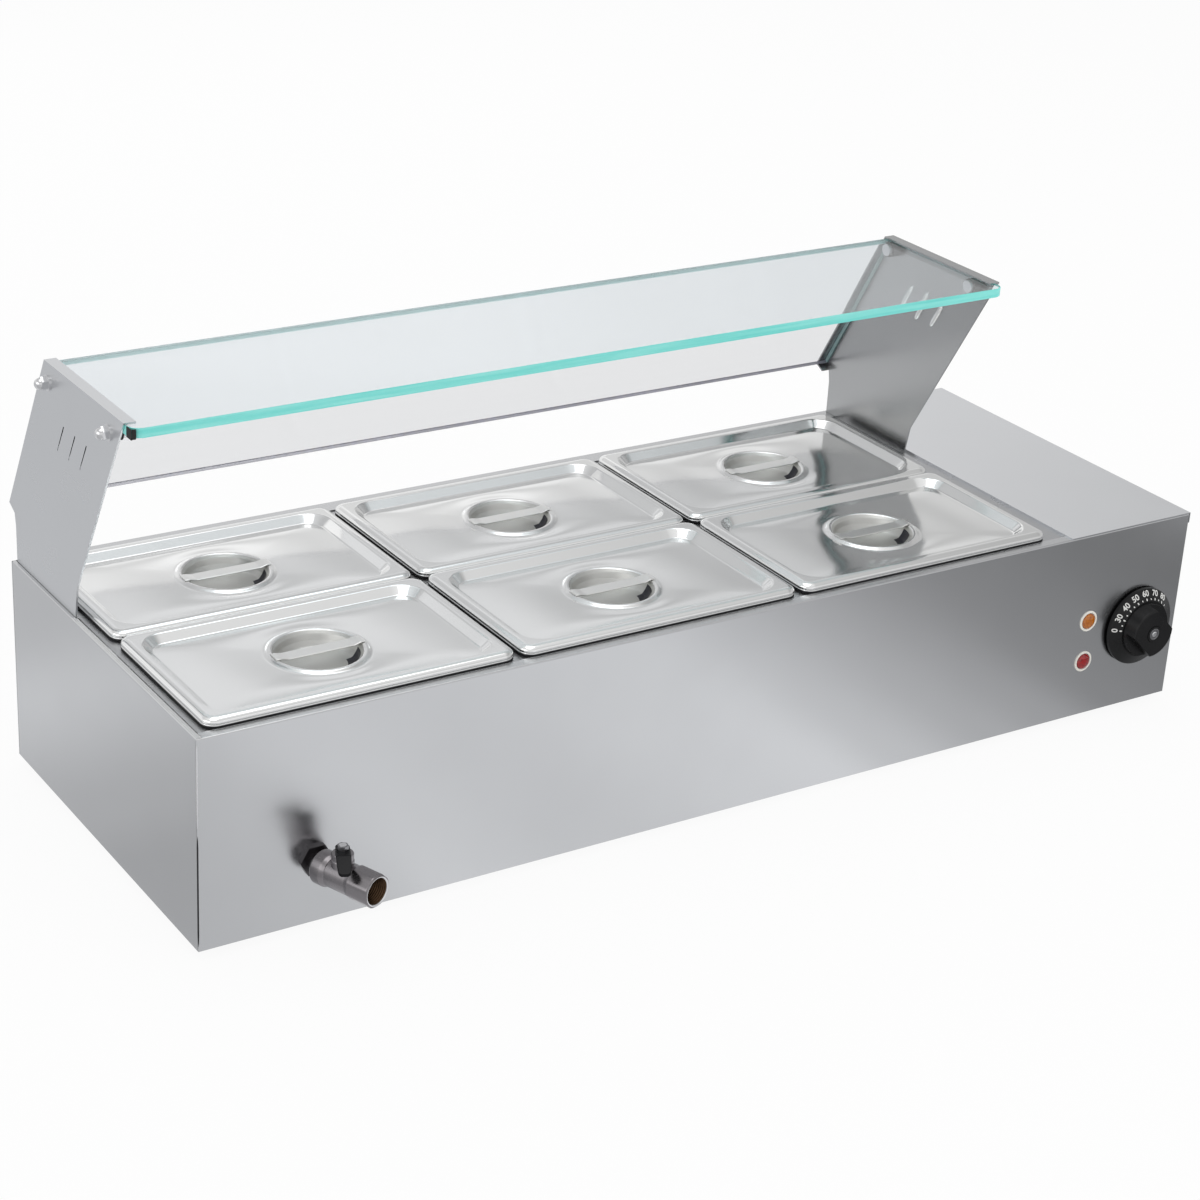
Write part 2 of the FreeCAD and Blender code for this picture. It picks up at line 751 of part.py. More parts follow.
# The slope that the rear glass lies on
guard_top = deck_top + guard_height
slope_start = Vector(0, rear - guard_top_back, guard_top)
slope_end = Vector(0, rear + guard_corner_past, deck_top + guard_corner_height)
slope = (slope_end - slope_start).normalize()
slope_out = Vector(0, -slope.z, slope.y)
tab_end = slope_end - Vector(0, guard_tab_run, guard_tab_drop)
tab_run = (tab_end - slope_end).normalize()
top_glass_top = guard_top - guard_sheet - glass_fit
top_glass_bottom = top_glass_top - top_glass_thickness
bolt_z = top_glass_bottom - glass_fit - sleeve_radius
back_bolt_offset = guard_sheet + 2 * glass_fit + rear_glass_thickness + sleeve_radius


def slope_point(along, inward):
    """Point at a distance down the slope and a distance in from it, as (y, z)."""
    point = slope_start + slope * along - slope_out * inward
    return (point.y, point.z)


def slope_depth_at(z, inward):
    """Y where the line at a distance in from the slope crosses height z."""
    start_y, start_z = slope_point(0, inward)
    return start_y + (z - start_z) * slope.y / slope.z


back_bolt_y = slope_depth_at(bolt_z, back_bolt_offset)
front_bolt_y = rear - guard_top_front + front_bolt_back
bolt_rows = [front_bolt_y, back_bolt_y]


def slit_cuts(x0, x1):
    """Slanted slits through a guard plate, parallel to its front edge."""
    cuts = []
    run_y = guard_top_front - guard_bend_front
    run_z = guard_bend_height - guard_height
    angle = math.degrees(math.atan2(run_z, run_y))
    for i in range(slit_count):
        y = rear - slit_first + i * slit_pitch
        z = deck_top + slit_height
        slot = slab(0, slit_length, -slit_width / 2, slit_width / 2, slit_width * 0.499, 0, x1 - x0)
        slot.rotate(Vector(0, 0, 0), Vector(1, 1, 1), 120)
        slot.rotate(Vector(0, 0, 0), Vector(1, 0, 0), angle)
        slot.translate(Vector(x0, y, z))
        cuts.append(slot)
    return cuts


def guard_plate(x0, inward):
    """Side of the guard: a plate with a flange over the top glass and one behind the rear glass."""
    x1 = x0 + guard_sheet
    plate = side_plate(guard_points(), x0, x1)
    reach = sorted((x0, x1, x0 + guard_flange if inward > 0 else x1 - guard_flange))
    fx0 = reach[0]
    fx1 = reach[-1]
    top = box(fx0, fx1, rear - guard_top_front, rear - guard_top_back, guard_top - guard_sheet, guard_top)
    span = (slope_end - slope_start).Length
    back = side_plate([slope_point(0.5, 0), slope_point(span, 0), slope_point(span, guard_sheet),
                       slope_point(1.5, guard_sheet)], fx0, fx1)
    tab_in = Vector(0, tab_run.z, -tab_run.y)
    if tab_in.z < 0:
        tab_in = tab_in * -1
    tab_points = [slope_end, tab_end, tab_end + tab_in * guard_sheet, slope_end + tab_in * guard_sheet]
    tab = side_plate([(p.y, p.z) for p in tab_points], fx0, fx1)
    plate = joined([plate, top, back, tab])
    holes = [rod(bolt_radius + running_gap, (x0 - 1, y, bolt_z), (x1 + 1, y, bolt_z)) for y in bolt_rows]
    holes += [rod(guard_screw_radius + running_gap, (x0 - 1, y, guard_screw_z), (x1 + 1, y, guard_screw_z))
              for y in guard_screw_rows]
    return less(plate, holes + slit_cuts(x0 - 1, x1 + 1))


def top_glass():
    x0 = guard_left + guard_sheet + fit
    x1 = guard_right - guard_sheet - fit
    y0 = rear - guard_top_front - glass_overhang
    y1 = slope_depth_at(top_glass_top, guard_sheet + fit)
    glass = box(x0, x1, y0, y1, top_glass_bottom, top_glass_top)
    glass = rounded(glass, glass_corner_radius,
                    lambda edge: lies_on(edge, Y=y0) and abs(edge.Vertexes[0].Z - edge.Vertexes[1].Z) > 1)
    return glass


def rear_glass():
    x0 = guard_left + guard_sheet + fit
    x1 = guard_right - guard_sheet - fit
    back = guard_sheet + glass_fit
    face = back + rear_glass_thickness
    top_z = top_glass_bottom - fit
    start = (slope_start.z - slope_out.z * back - top_z) / -slope.z
    span = (slope_end - slope_start).Length - guard_sheet - 3.2
    return side_plate([slope_point(start, back), slope_point(span, back), slope_point(span, face),
                       slope_point(start, face)], x0, x1)


def glass_sleeves():
    """Rubber sleeves on the bolts, under the top glass and in front of the rear one."""
    sleeves = []
    for y in bolt_rows:
        for x0, x1 in ((guard_left + guard_sheet, guard_left + guard_sheet + sleeve_length),
                       (guard_right - guard_sheet - sleeve_length, guard_right - guard_sheet)):
            body = rod(sleeve_radius, (x0, y, bolt_z), (x1, y, bolt_z))
            bore = rod(bolt_radius + running_gap, (x0 - 1, y, bolt_z), (x1 + 1, y, bolt_z))
            sleeves.append(body.cut(bore))
    return Part.makeCompound(sleeves)


def bolt_sides():
    """For each guard plate: its outer face, the way out, and its inner face."""
    return [(guard_left, -1, guard_left + guard_sheet), (guard_right, 1, guard_right - guard_sheet)]


def guard_bolts():
    bolts = []
    stack = cap_washer_height + cap_nut_hex_height
    for outer, way, inner in bolt_sides():
        for y in bolt_rows:
            head_in = inner - way * (sleeve_length + bolt_head_height)
            head_out = inner - way * sleeve_length
            head = rod(bolt_head_radius, (head_in, y, bolt_z), (head_out, y, bolt_z))
            shank = rod(bolt_radius, (head_out, y, bolt_z), (outer + way * stack, y, bolt_z))
            bolts.append(joined([head, shank]))
    return Part.makeCompound(bolts)


def cap_nuts():
    nuts = []
    for outer, way, inner in bolt_sides():
        for y in bolt_rows:
            base = outer + way * cap_washer_height
            shoulder = base + way * cap_nut_hex_height
            washer = rod(cap_washer_radius, (outer, y, bolt_z), (base, y, bolt_z))
            body = hexagon(cap_nut_flats, (base, y, bolt_z), (shoulder, y, bolt_z))
            dome = Part.makeSphere(cap_dome_radius, Vector(shoulder, y, bolt_z))
            bore = rod(bolt_radius + running_gap, (outer - way, y, bolt_z), (shoulder + way * fit, y, bolt_z))
            nuts.append(joined([washer, body, dome]).cut(bore))
    return Part.makeCompound(nuts)


def guard_screws():
    """Screws through each plate's foot into the deck edge or the bulkhead."""
    screws = []
    for start, way in ((guard_left, 1), (guard_right - guard_sheet, 1)):
        for y in guard_screw_rows:
            under_head = start + way * (guard_sheet + fit + sheet)
            head_end = under_head + way * screw_head_height
            head = rod(screw_head_radius, (under_head, y, guard_screw_z), (head_end, y, guard_screw_z))
            point = (start - way * 1.0, y, guard_screw_z)
            shank = rod(guard_screw_radius, point, (under_head, y, guard_screw_z))
            screws.append(joined([head, shank]))
    return Part.makeCompound(screws)


def heating_element():
    """Sheathed loop lying over the tank floor, with its two studs through the tank wall."""
    radius = element_spacing / 2
    turn_x = tank_left + element_end_gap + radius
    end_x = tank_right + sheet + element_flange_height + element_nut_height + 4
    low, high = element_rows
    middle = (low + high) / 2
    run_low = Part.makeLine(Vector(end_x, low, element_z), Vector(turn_x, low, element_z))
    bend = Part.Arc(Vector(turn_x, low, element_z), Vector(turn_x - radius, middle, element_z),
                    Vector(turn_x, high, element_z)).toShape()
    run_high = Part.makeLine(Vector(turn_x, high, element_z), Vector(end_x, high, element_z))
    path = Part.Wire([run_low, bend, run_high])
    section = Part.Wire([Part.makeCircle(element_radius, Vector(end_x, low, element_z), Vector(1, 0, 0))])
    tube = path.makePipeShell([section], True, False)
    stud_end = end_x + stud_length
    studs = [rod(stud_radius, (end_x, y, element_z), (stud_end, y, element_z)) for y in element_rows]
    return joined([tube] + studs)


def element_flanges():
    """Sealing collars clamped on the outside of the tank wall."""
    rings = []
    for y in element_rows:
        x0 = tank_right + sheet
        x1 = x0 + element_flange_height
        ring = rod(element_flange_radius, (x0, y, element_z), (x1, y, element_z))
        way = rod(element_radius + running_gap, (x0 - 1, y, element_z), (x1 + 1, y, element_z))
        rings.append(ring.cut(way))
    return Part.makeCompound(rings)


def element_nuts():
    nuts = []
    for y in element_rows:
        x0 = tank_right + sheet + element_flange_height
        x1 = x0 + element_nut_height
        nut = hexagon(element_nut_flats, (x0, y, element_z), (x1, y, element_z))
        way = rod(element_radius + running_gap, (x0 - 1, y, element_z), (x1 + 1, y, element_z))
        nuts.append(nut.cut(way))
    return Part.makeCompound(nuts)


def thermostat_body():
    y0 = front + sheet
    half = thermostat_width / 2
    block = box(knob_x - half, knob_x + half, y0 + 2.0, y0 + 2.0 + thermostat_depth,
                knob_z - thermostat_length / 2, knob_z + thermostat_length / 2)
    plate = box(knob_x - thermostat_width / 2 - 6, knob_x + thermostat_width / 2 + 6, y0, y0 + 2.0,
                knob_z - thermostat_length / 2 + 6, knob_z + thermostat_length / 2 - 6)
    bush = rod(bush_radius, (knob_x, front - 1.5, knob_z), (knob_x, y0, knob_z))
    way = spindle_radius + running_gap
    bore = rod(way, (knob_x, front - 5, knob_z), (knob_x, front + bush_length, knob_z))
    return joined([block, plate, bush]).cut(bore)


def spindle():
    """Shaft with a flat for the knob."""
    y0 = front - grip_length - dial_cone_height + 8
    y1 = front + bush_length - 0.5
    shaft = rod(spindle_radius, (knob_x, y0, knob_z), (knob_x, y1, knob_z))
    flat = box(knob_x - 5, knob_x + 5, y0 - 1, front - 3, knob_z + spindle_radius - spindle_flat, knob_z + 5)
    return shaft.cut(flat)


def knob_bore(y0, y1):
    bore = rod(spindle_radius + running_gap, (knob_x, y0, knob_z), (knob_x, y1, knob_z))
    flat_z = knob_z + spindle_radius - spindle_flat + running_gap
    return bore.cut(box(knob_x - 5, knob_x + 5, y0 - 1, y1 + 1, flat_z, knob_z + 5))


dial_back = front - 2.0
dial_front = dial_back - dial_cone_height


def knob_dial():
    """Skirt that carries the scale, a low cone with a rim."""
    points = [(0, 0), (dial_radius, 0), (dial_radius, dial_rim), (dial_radius - 1.0, dial_rim + 0.8),
              (dial_cone_radius, dial_cone_height), (0, dial_cone_height)]
    skirt = turned(points, (knob_x, dial_back, knob_z), (0, -1, 0))
    relief = rod(bush_radius + 1.0, (knob_x, dial_back + 1, knob_z), (knob_x, dial_back - 2.0, knob_z))
    return less(skirt, [knob_bore(dial_front - 1, dial_back + 1), relief])


def knob_grip():
    """Turning grip: a tapered round cap with a finger flat on each side."""
    tip = dial_front - grip_length
    cap = cone(grip_radius, grip_top_radius, (knob_x, dial_front, knob_z), (knob_x, tip, knob_z))
    cap = rounded(cap, 2.0, lambda edge: lies_on(edge, Y=tip) and len(edge.Vertexes) == 1)
    flats = []
    base = dial_front - grip_flat_base
    reach = grip_radius + 5
    for side in (-1, 1):
        x0 = knob_x + side * grip_half_width
        x1 = knob_x + side * reach
        flats.append(box(min(x0, x1), max(x0, x1), tip - 1, base, knob_z - reach, knob_z + reach))
    cap = less(cap, flats)
    cap.rotate(Vector(knob_x, tip, knob_z), Vector(0, 1, 0), grip_turn)
    pocket = rod(8.0, (knob_x, tip - 1, knob_z), (knob_x, tip + 2.0, knob_z))
    return less(cap, [pocket, knob_bore(tip + 1, dial_front + 1)])


def knob_screw():
    """Ring cap with a slotted screw in the middle of the grip."""
    tip = dial_front - grip_length
    ring = rod(7.6, (knob_x, tip + 2.0, knob_z), (knob_x, tip + 0.4, knob_z))
    recess = rod(5.2, (knob_x, tip - 1, knob_z), (knob_x, tip + 1.2, knob_z))
    head = rod(3.4, (knob_x, tip + 1.2, knob_z), (knob_x, tip + 0.2, knob_z))
    slot = box(knob_x - 4, knob_x + 4, tip - 1, tip + 0.8, knob_z - 0.5, knob_z + 0.5)
    return joined([ring.cut(recess), head]).cut(slot)


def lamp_bezels():
    rings = []
    for z in lamp_levels:
        points = [(lamp_radius + running_gap, 0), (bezel_radius, 0), (bezel_radius, bezel_height * 0.4),
                  (bezel_radius - bezel_wall, bezel_height), (lamp_radius + running_gap, bezel_height)]
        rings.append(turned(points, (lamp_x, front, z), (0, -1, 0)))
    return Part.makeCompound(rings)


def lamp_lens(z):
    """Domed lens with its barrel through the panel."""
    r = lamp_radius
    points = [(0, -4), (r, -4), (r, bezel_height), (r * 0.82, bezel_height + 2.0),
              (r * 0.5, bezel_height + 3.1), (0, bezel_height + 3.5)]
    return turned(points, (lamp_x, front, z), (0, -1, 0))


def lamp_bodies():
    """Lamp holders behind the panel, each with two blades."""
    bodies = []
    for z in lamp_levels:
        y0 = front + 4
        y1 = y0 + lamp_body_length
        collar = rod(lamp_radius + 2.4, (lamp_x, y0, z), (lamp_x, y0 + 4, z))
        barrel = rod(lamp_radius, (lamp_x, y0 + 4, z), (lamp_x, y1, z))
        blades = [box(lamp_x + dx - 1.6, lamp_x + dx + 1.6, y1, y1 + 8, z - 0.4, z + 0.4) for dx in (-3, 3)]
        bodies.append(joined([collar, barrel] + blades))
    return Part.makeCompound(bodies)


def terminal_block():
    """Block with a screw well and a wire way for each wire."""
    z0 = shell_bottom + 2 * sheet
    x0 = control_left + control_width / 2 - terminal_width / 2
    x1 = x0 + terminal_width
    y0 = rear - terminal_inset - terminal_length
    block = box(x0, x1, y0, y0 + terminal_length, z0, z0 + terminal_height)
    pitch = terminal_length / terminal_ways
    cuts = []
    for i in range(terminal_ways):
        y = y0 + (i + 0.5) * pitch
        for x in (x0 + 6, x1 - 6):
            cuts.append(rod(2.2, (x, y, z0 + 7), (x, y, z0 + terminal_height + 1)))
        if i:
            edge = y0 + i * pitch
            top = z0 + terminal_height
            cuts.append(box(x0 - 1, x1 + 1, edge - 1, edge + 1, top - 4, top + 1))
    return less(block, cuts)


def cable_gland():
    """Gland in the rear panel for the supply cable."""
    y = rear
    neck = rod(gland_radius, (gland_x, y - 10, gland_z), (gland_x, y, gland_z))
    collar = hexagon(2.6 * gland_radius, (gland_x, y, gland_z), (gland_x, y + gland_collar, gland_z))
    y1 = y + gland_collar
    y2 = y + gland_reach
    dome = cone(gland_radius * 1.15, gland_radius * 0.9, (gland_x, y1, gland_z), (gland_x, y2, gland_z))
    nut = hexagon(2.6 * gland_radius, (gland_x, y - 1 * sheet - 4, gland_z), (gland_x, y - sheet, gland_z))
    bore = rod(gland_bore_radius, (gland_x, y - 11, gland_z), (gland_x, y2 + 1, gland_z))
    return joined([neck, collar, dome, nut]).cut(bore)


def thermostat_bulb():
    """Sensing bulb under the tank floor, with its capillary back to the thermostat."""
    z = tank_floor - sheet - bulb_radius - fit
    x_end = bulkhead_left - bulb_end_gap
    y = middle_y
    bulb = rod(bulb_radius, (x_end - bulb_length, y, z), (x_end, y, z))
    corner_x = knob_x
    y_end = front + sheet + 2 + thermostat_depth
    rise_z = knob_z
    bend = 14.0
    a = Vector(x_end, y, z)
    b = Vector(corner_x - bend, y, z)
    c = Vector(corner_x, y, z + bend)
    d = Vector(corner_x, y, rise_z - bend)
    e = Vector(corner_x, y - bend, rise_z)
    f = Vector(corner_x, y_end, rise_z)
    k = bend * (1 - math.sqrt(0.5))
    first = Part.Arc(b, Vector(corner_x - k, y, z + k), c).toShape()
    second = Part.Arc(d, Vector(corner_x, y - k, rise_z - k), e).toShape()
    path = Part.Wire([Part.makeLine(a, b), first, Part.makeLine(c, d), second, Part.makeLine(e, f)])
    section = Part.Wire([Part.makeCircle(capillary_radius, a, Vector(1, 0, 0))])
    tube = path.makePipeShell([section], True, False)
    return joined([bulb, tube])


# Drain tap. It is drawn straight out of the front, then turned about the joint ball.
joint_y = front - joint_reach
tap_start = joint_y - tap_gap
tap_middle = tap_start - tap_body_length / 2
tap_end = tap_start - tap_body_length - tap_outlet_length
stem_z = tap_z + stem_boss_height


def on_tap(shape):
    """Turns a part of the tap about the upright line through the joint ball."""
    shape.rotate(Vector(tap_x, joint_y, tap_z), Vector(0, 0, 1), tap_turn)
    return shape


def drain_pipe():
    """Threaded pipe from inside the tank, with a collar on the panel and the joint ball outside."""
    inner_end = tank_front + lock_nut_height + 4
    pipe = rod(pipe_radius, (tap_x, inner_end, tap_z), (tap_x, joint_y, tap_z))
    collar = hexagon(24.0, (tap_x, front, tap_z), (tap_x, front - 3, tap_z))
    wall_collar = rod(12.0, (tap_x, tank_front - sheet - 3, tap_z), (tap_x, tank_front - sheet, tap_z))
    ball = Part.makeSphere(joint_ball_radius, Vector(tap_x, joint_y, tap_z))
    bore = rod(pipe_bore, (tap_x, inner_end + 1, tap_z), (tap_x, joint_y - 20, tap_z))
    return joined([pipe, collar, wall_collar, ball]).cut(bore)


def drain_lock_nut():
    """Nut inside the tank, tight against its wall."""
    y0 = tank_front
    nut = hexagon(lock_nut_flats, (tap_x, y0, tap_z), (tap_x, y0 + lock_nut_height, tap_z))
    return nut.cut(rod(pipe_radius + running_gap, (tap_x, y0 - 1, tap_z), (tap_x, y0 + 20, tap_z)))


def tap_body():
    """Valve body: socket for the joint ball, round middle with a stem boss, octagonal mouth."""
    back = joint_y + 3.0
    socket = rod(tap_body_radius + 1.5, (tap_x, back, tap_z), (tap_x, tap_start - 4, tap_z))
    barrel = rod(tap_body_radius, (tap_x, tap_start - 4, tap_z), (tap_x, tap_end + tap_outlet_length, tap_z))
    mouth = octagon(tap_flats, tap_end + tap_outlet_length, tap_end)
    boss = rod(stem_boss_radius, (tap_x, tap_middle, tap_z), (tap_x, tap_middle, stem_z))
    solid = joined([socket, barrel, mouth, boss])
    ball_room = Part.makeSphere(joint_ball_radius + running_gap, Vector(tap_x, joint_y, tap_z))
    valve_room = Part.makeSphere(tap_ball_radius + running_gap, Vector(tap_x, tap_middle, tap_z))
    through = rod(tap_seat_bore, (tap_x, joint_y, tap_z), (tap_x, tap_end, tap_z))
    open_end = rod(tap_bore, (tap_x, tap_end - 1, tap_z), (tap_x, tap_end + tap_outlet_length - 4, tap_z))
    stem_hole = rod(stem_radius + running_gap, (tap_x, tap_middle, tap_z), (tap_x, tap_middle, stem_z + 1))
    cone_start = (tap_x, joint_y + 1.0, tap_z)
    rear_cone = cone(tap_body_radius, tap_body_radius + 6, cone_start, (tap_x, back + 1, tap_z))
    return on_tap(less(solid, [ball_room, valve_room, through, open_end, stem_hole, rear_cone]))


def octagon(flats, y_start, y_end):
    reach = flats / 2 / math.cos(math.radians(22.5))
    corners = []
    for side in range(8):
        angle = math.radians(22.5 + side * 45)
        corners.append(Vector(tap_x + reach * math.cos(angle), y_start, tap_z + reach * math.sin(angle)))
    return Part.Face(Part.makePolygon(corners + corners[:1])).extrude(Vector(0, y_end - y_start, 0))


def tap_ball():
    ball = Part.makeSphere(tap_ball_radius, Vector(tap_x, tap_middle, tap_z))
    way = rod(tap_seat_bore, (tap_x - 20, tap_middle, tap_z), (tap_x + 20, tap_middle, tap_z))
    slot = box(tap_x - 1.2, tap_x + 1.2, tap_middle - 9, tap_middle + 9,
               tap_z + tap_ball_radius - 2.2, tap_z + tap_ball_radius + 1)
    return on_tap(less(ball, [way, slot]))


def tap_stem():
    """Stem from the ball's slot up through the boss and the lever to its nut."""
    low = tap_z + tap_ball_radius - 2.0
    high = tap_z + tap_ball_radius + 0.5
    tongue = box(tap_x - 1.15, tap_x + 1.15, tap_middle - 2.6, tap_middle + 2.6, low, high)
    top = stem_z + fit + lever_thickness + lever_nut_height + fit
    shaft = rod(stem_radius, (tap_x, tap_middle, tap_z + tap_ball_radius + 0.2), (tap_x, tap_middle, top))
    return on_tap(joined([tongue, shaft]))


def tap_lever():
    """Lever: flat round the stem, then bent down over the barrel and narrowed to its end."""
    t = lever_thickness
    r = lever_hub_radius
    end = -lever_length
    side = [(r, 0), (r, t), (-lever_bend, t), (end, t - lever_drop), (end, -lever_drop),
            (-lever_bend - 0.4, 0)]
    strip = side_plate(side, -2 * r, 2 * r)
    plan = [(-r, 0), (-lever_shoulder, -lever_bend - 1), (-lever_tip, end + 2), (-lever_tip + 2, end),
            (lever_tip - 2, end), (lever_tip, end + 2), (lever_shoulder, -lever_bend - 1), (r, 0)]
    corners = [Vector(x, y, -lever_drop - 1) for x, y in plan]
    blade = Part.Face(Part.makePolygon(corners + corners[:1])).extrude(Vector(0, 0, lever_drop + t + 2))
    hub = rod(r, (0, 0, -1), (0, 0, t + 1))
    lever = strip.common(joined([blade, hub]))
    lever = lever.cut(rod(stem_radius + running_gap, (0, 0, -1), (0, 0, t + 1)))
    lever.rotate(Vector(0, 0, 0), Vector(0, 0, 1), lever_turn)
    lever.translate(Vector(tap_x, tap_middle, stem_z + fit))
    return on_tap(lever)


def lever_nut():
    """Hexagonal nut that holds the lever on the stem."""
    z0 = stem_z + fit + lever_thickness
    nut = hexagon(lever_nut_flats, (tap_x, tap_middle, z0), (tap_x, tap_middle, z0 + lever_nut_height))
    way = rod(stem_radius + running_gap, (tap_x, tap_middle, z0 - 1), (tap_x, tap_middle, z0 + 20))
    return on_tap(nut.cut(way))


# Every piece, built and saved under its own name
save("front_panel", front_panel())
save("rear_panel", rear_panel())
save("left_panel", side_panel(left, 1, side_lip))
save("right_panel", side_panel(right, -1, cover_rest))
save("base_plate", base_plate())
save("deck_frame", deck_frame())
save("water_tank", water_tank())
save("pan_grid", pan_grid())
save("control_cover", control_cover())
save("bulkhead", bulkhead())
save("feet", feet())
save("foot_screws", foot_screws())
for row in range(pan_rows):
    for column in range(pan_columns):
        name = ("front", "back")[row] + "_" + ("left", "middle", "right")[column]
        place = (grid_left + column * (pan_length + column_gap), grid_front + row * (pan_width + row_gap))
        save("pan_" + name, pan(*place))
        save("lid_" + name, lid(*place))
        save("handle_" + name, lid_handle(*place))
save("left_guard_plate", guard_plate(guard_left, 1))
save("right_guard_plate", guard_plate(guard_right - guard_sheet, -1))
save("top_glass", top_glass())
save("rear_glass", rear_glass())
save("glass_sleeves", glass_sleeves())
save("guard_bolts", guard_bolts())
save("cap_nuts", cap_nuts())
save("guard_screws", guard_screws())
save("heating_element", heating_element())
save("element_flanges", element_flanges())
save("element_nuts", element_nuts())
save("thermostat_body", thermostat_body())
save("thermostat_bulb", thermostat_bulb())
save("spindle", spindle())
save("knob_dial", knob_dial())
save("knob_grip", knob_grip())
save("knob_screw", knob_screw())
save("lamp_bezels", lamp_bezels())
save("amber_lens", lamp_lens(lamp_levels[0]))
save("red_lens", lamp_lens(lamp_levels[1]))
save("lamp_bodies", lamp_bodies())
save("terminal_block", terminal_block())
save("cable_gland", cable_gland())
save("drain_pipe", drain_pipe())
save("drain_lock_nut", drain_lock_nut())
save("tap_body", tap_body())
save("tap_ball", tap_ball())
save("tap_stem", tap_stem())
save("tap_lever", tap_lever())
save("lever_nut", lever_nut())
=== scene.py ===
import json
import math

import bmesh
import bpy
from mathutils import Matrix, Vector


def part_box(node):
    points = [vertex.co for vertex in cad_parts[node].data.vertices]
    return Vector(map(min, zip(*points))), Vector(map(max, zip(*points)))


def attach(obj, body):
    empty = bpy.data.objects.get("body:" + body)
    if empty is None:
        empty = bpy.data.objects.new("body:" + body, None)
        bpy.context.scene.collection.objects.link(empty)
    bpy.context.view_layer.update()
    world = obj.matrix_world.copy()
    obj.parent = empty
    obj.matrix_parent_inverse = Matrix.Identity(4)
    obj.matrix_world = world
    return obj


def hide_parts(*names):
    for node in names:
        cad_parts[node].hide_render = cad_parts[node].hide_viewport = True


# Electric bain-marie: camera, light, floor, materials and the detailed pieces.
# Metres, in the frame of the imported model. X right, Y to the back, Z up.

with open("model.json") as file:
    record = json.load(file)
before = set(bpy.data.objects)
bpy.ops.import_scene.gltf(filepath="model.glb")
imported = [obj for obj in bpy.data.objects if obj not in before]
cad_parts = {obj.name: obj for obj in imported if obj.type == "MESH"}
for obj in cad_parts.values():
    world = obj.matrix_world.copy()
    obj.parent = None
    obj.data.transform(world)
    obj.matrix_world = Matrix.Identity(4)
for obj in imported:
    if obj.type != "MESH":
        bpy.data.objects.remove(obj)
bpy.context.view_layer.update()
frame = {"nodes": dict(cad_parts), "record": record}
nodes = frame["nodes"]
record = frame["record"]
scene = bpy.context.scene

MM = 0.001
ROWS = ("front", "back")
COLUMNS = ("left", "middle", "right")
PLACES = [row + "_" + column for row in ROWS for column in COLUMNS]


# Nodes of a material

def add_node(tree, kind, inputs=None, **settings):
    """New node with its settings. Each input gets a value, or a socket that it is linked to."""
    node = tree.nodes.new("ShaderNode" + kind)
    for key, value in settings.items():
        setattr(node, key, value)
    for key, value in (inputs or {}).items():
        if isinstance(value, bpy.types.NodeSocket):
            tree.links.new(value, node.inputs[key])
        else:
            node.inputs[key].default_value = value
    return node


def start_material(name, colour, roughness, metallic=0.0):
    """New material with one shader, its tree and that shader."""
    material = bpy.data.materials.new(name)
    material.use_nodes = True
    tree = material.node_tree
    shader = tree.nodes["Principled BSDF"]
    shader.inputs["Base Color"].default_value = (*colour, 1)
    shader.inputs["Roughness"].default_value = roughness
    shader.inputs["Metallic"].default_value = metallic
    return material, tree, shader


def place_noise(tree, scale, detail=4.0, stretch=(1, 1, 1), roughness=0.55):
    """Noise in the object's own coordinates, stretched along its axes."""
    place = add_node(tree, "TexCoord").outputs["Object"]
    mapping = add_node(tree, "Mapping", {"Vector": place, "Scale": stretch})
    inputs = {"Vector": mapping.outputs["Vector"], "Scale": scale, "Detail": detail, "Roughness": roughness}
    return add_node(tree, "TexNoise", inputs).outputs["Fac"]


def spread(tree, value, low, high, from_low=0.3, from_high=0.7):
    """Carries a value from one range to another."""
    inputs = {"Value": value, "From Min": from_low, "From Max": from_high, "To Min": low, "To Max": high}
    return add_node(tree, "MapRange", inputs).outputs["Result"]


def mix_colour(tree, share, first, second, blend="MIX"):
    """Mix of two colours. The share and the colours are values or sockets."""
    inputs = {"Factor": share, "A": first, "B": second}
    return add_node(tree, "Mix", inputs, data_type="RGBA", blend_type=blend).outputs["Result"]


def colour_by(tree, shader, value, dark, light):
    """Base colour between two tones by a value."""
    tree.links.new(mix_colour(tree, value, (*dark, 1), (*light, 1)), shader.inputs["Base Color"])


def shade_by(tree, shader, value, colour, low, high, lift=0.0):
    """Base colour between a darker and a lighter shade of one colour."""
    colour_by(tree, shader, value, [c * low for c in colour], [min(1, c * high + lift) for c in colour])


def roughness_by(tree, shader, value, low, high, from_low=0.3, from_high=0.7):
    tree.links.new(spread(tree, value, low, high, from_low, from_high), shader.inputs["Roughness"])


def add_bump(tree, shader, height, strength, distance):
    bump = add_node(tree, "Bump", {"Height": height, "Strength": strength, "Distance": distance})
    tree.links.new(bump.outputs["Normal"], shader.inputs["Normal"])


GRAIN_SHARE = 0.12
CLOUD_SHARE = 0.75


def sheet_steel(name, colour, roughness, grain_axis=0, cloud=0.04, vary=0.04, wave=0.10):
    """Stainless sheet: fine grain along one axis, soft clouds, faint smears and a slight wave."""
    material, tree, shader = start_material(name, colour, roughness, 1.0)
    stretch = [1.0, 1.0, 1.0]
    stretch[grain_axis] = 0.03
    grain = place_noise(tree, 260, 2, stretch, 0.5)
    clouds = spread(tree, place_noise(tree, 7), 0.0, CLOUD_SHARE)
    smears = place_noise(tree, 26, 3, (1, 0.5, 1), 0.5)
    join = add_node(tree, "Math", {0: grain, 1: GRAIN_SHARE, 2: clouds}, operation="MULTIPLY_ADD")
    shade_by(tree, shader, join.outputs[0], colour, 1 - cloud, 1 + cloud)
    roughness_by(tree, shader, smears, roughness - vary, roughness + vary)
    add_bump(tree, shader, place_noise(tree, 6, 0), wave, 0.002)
    return material


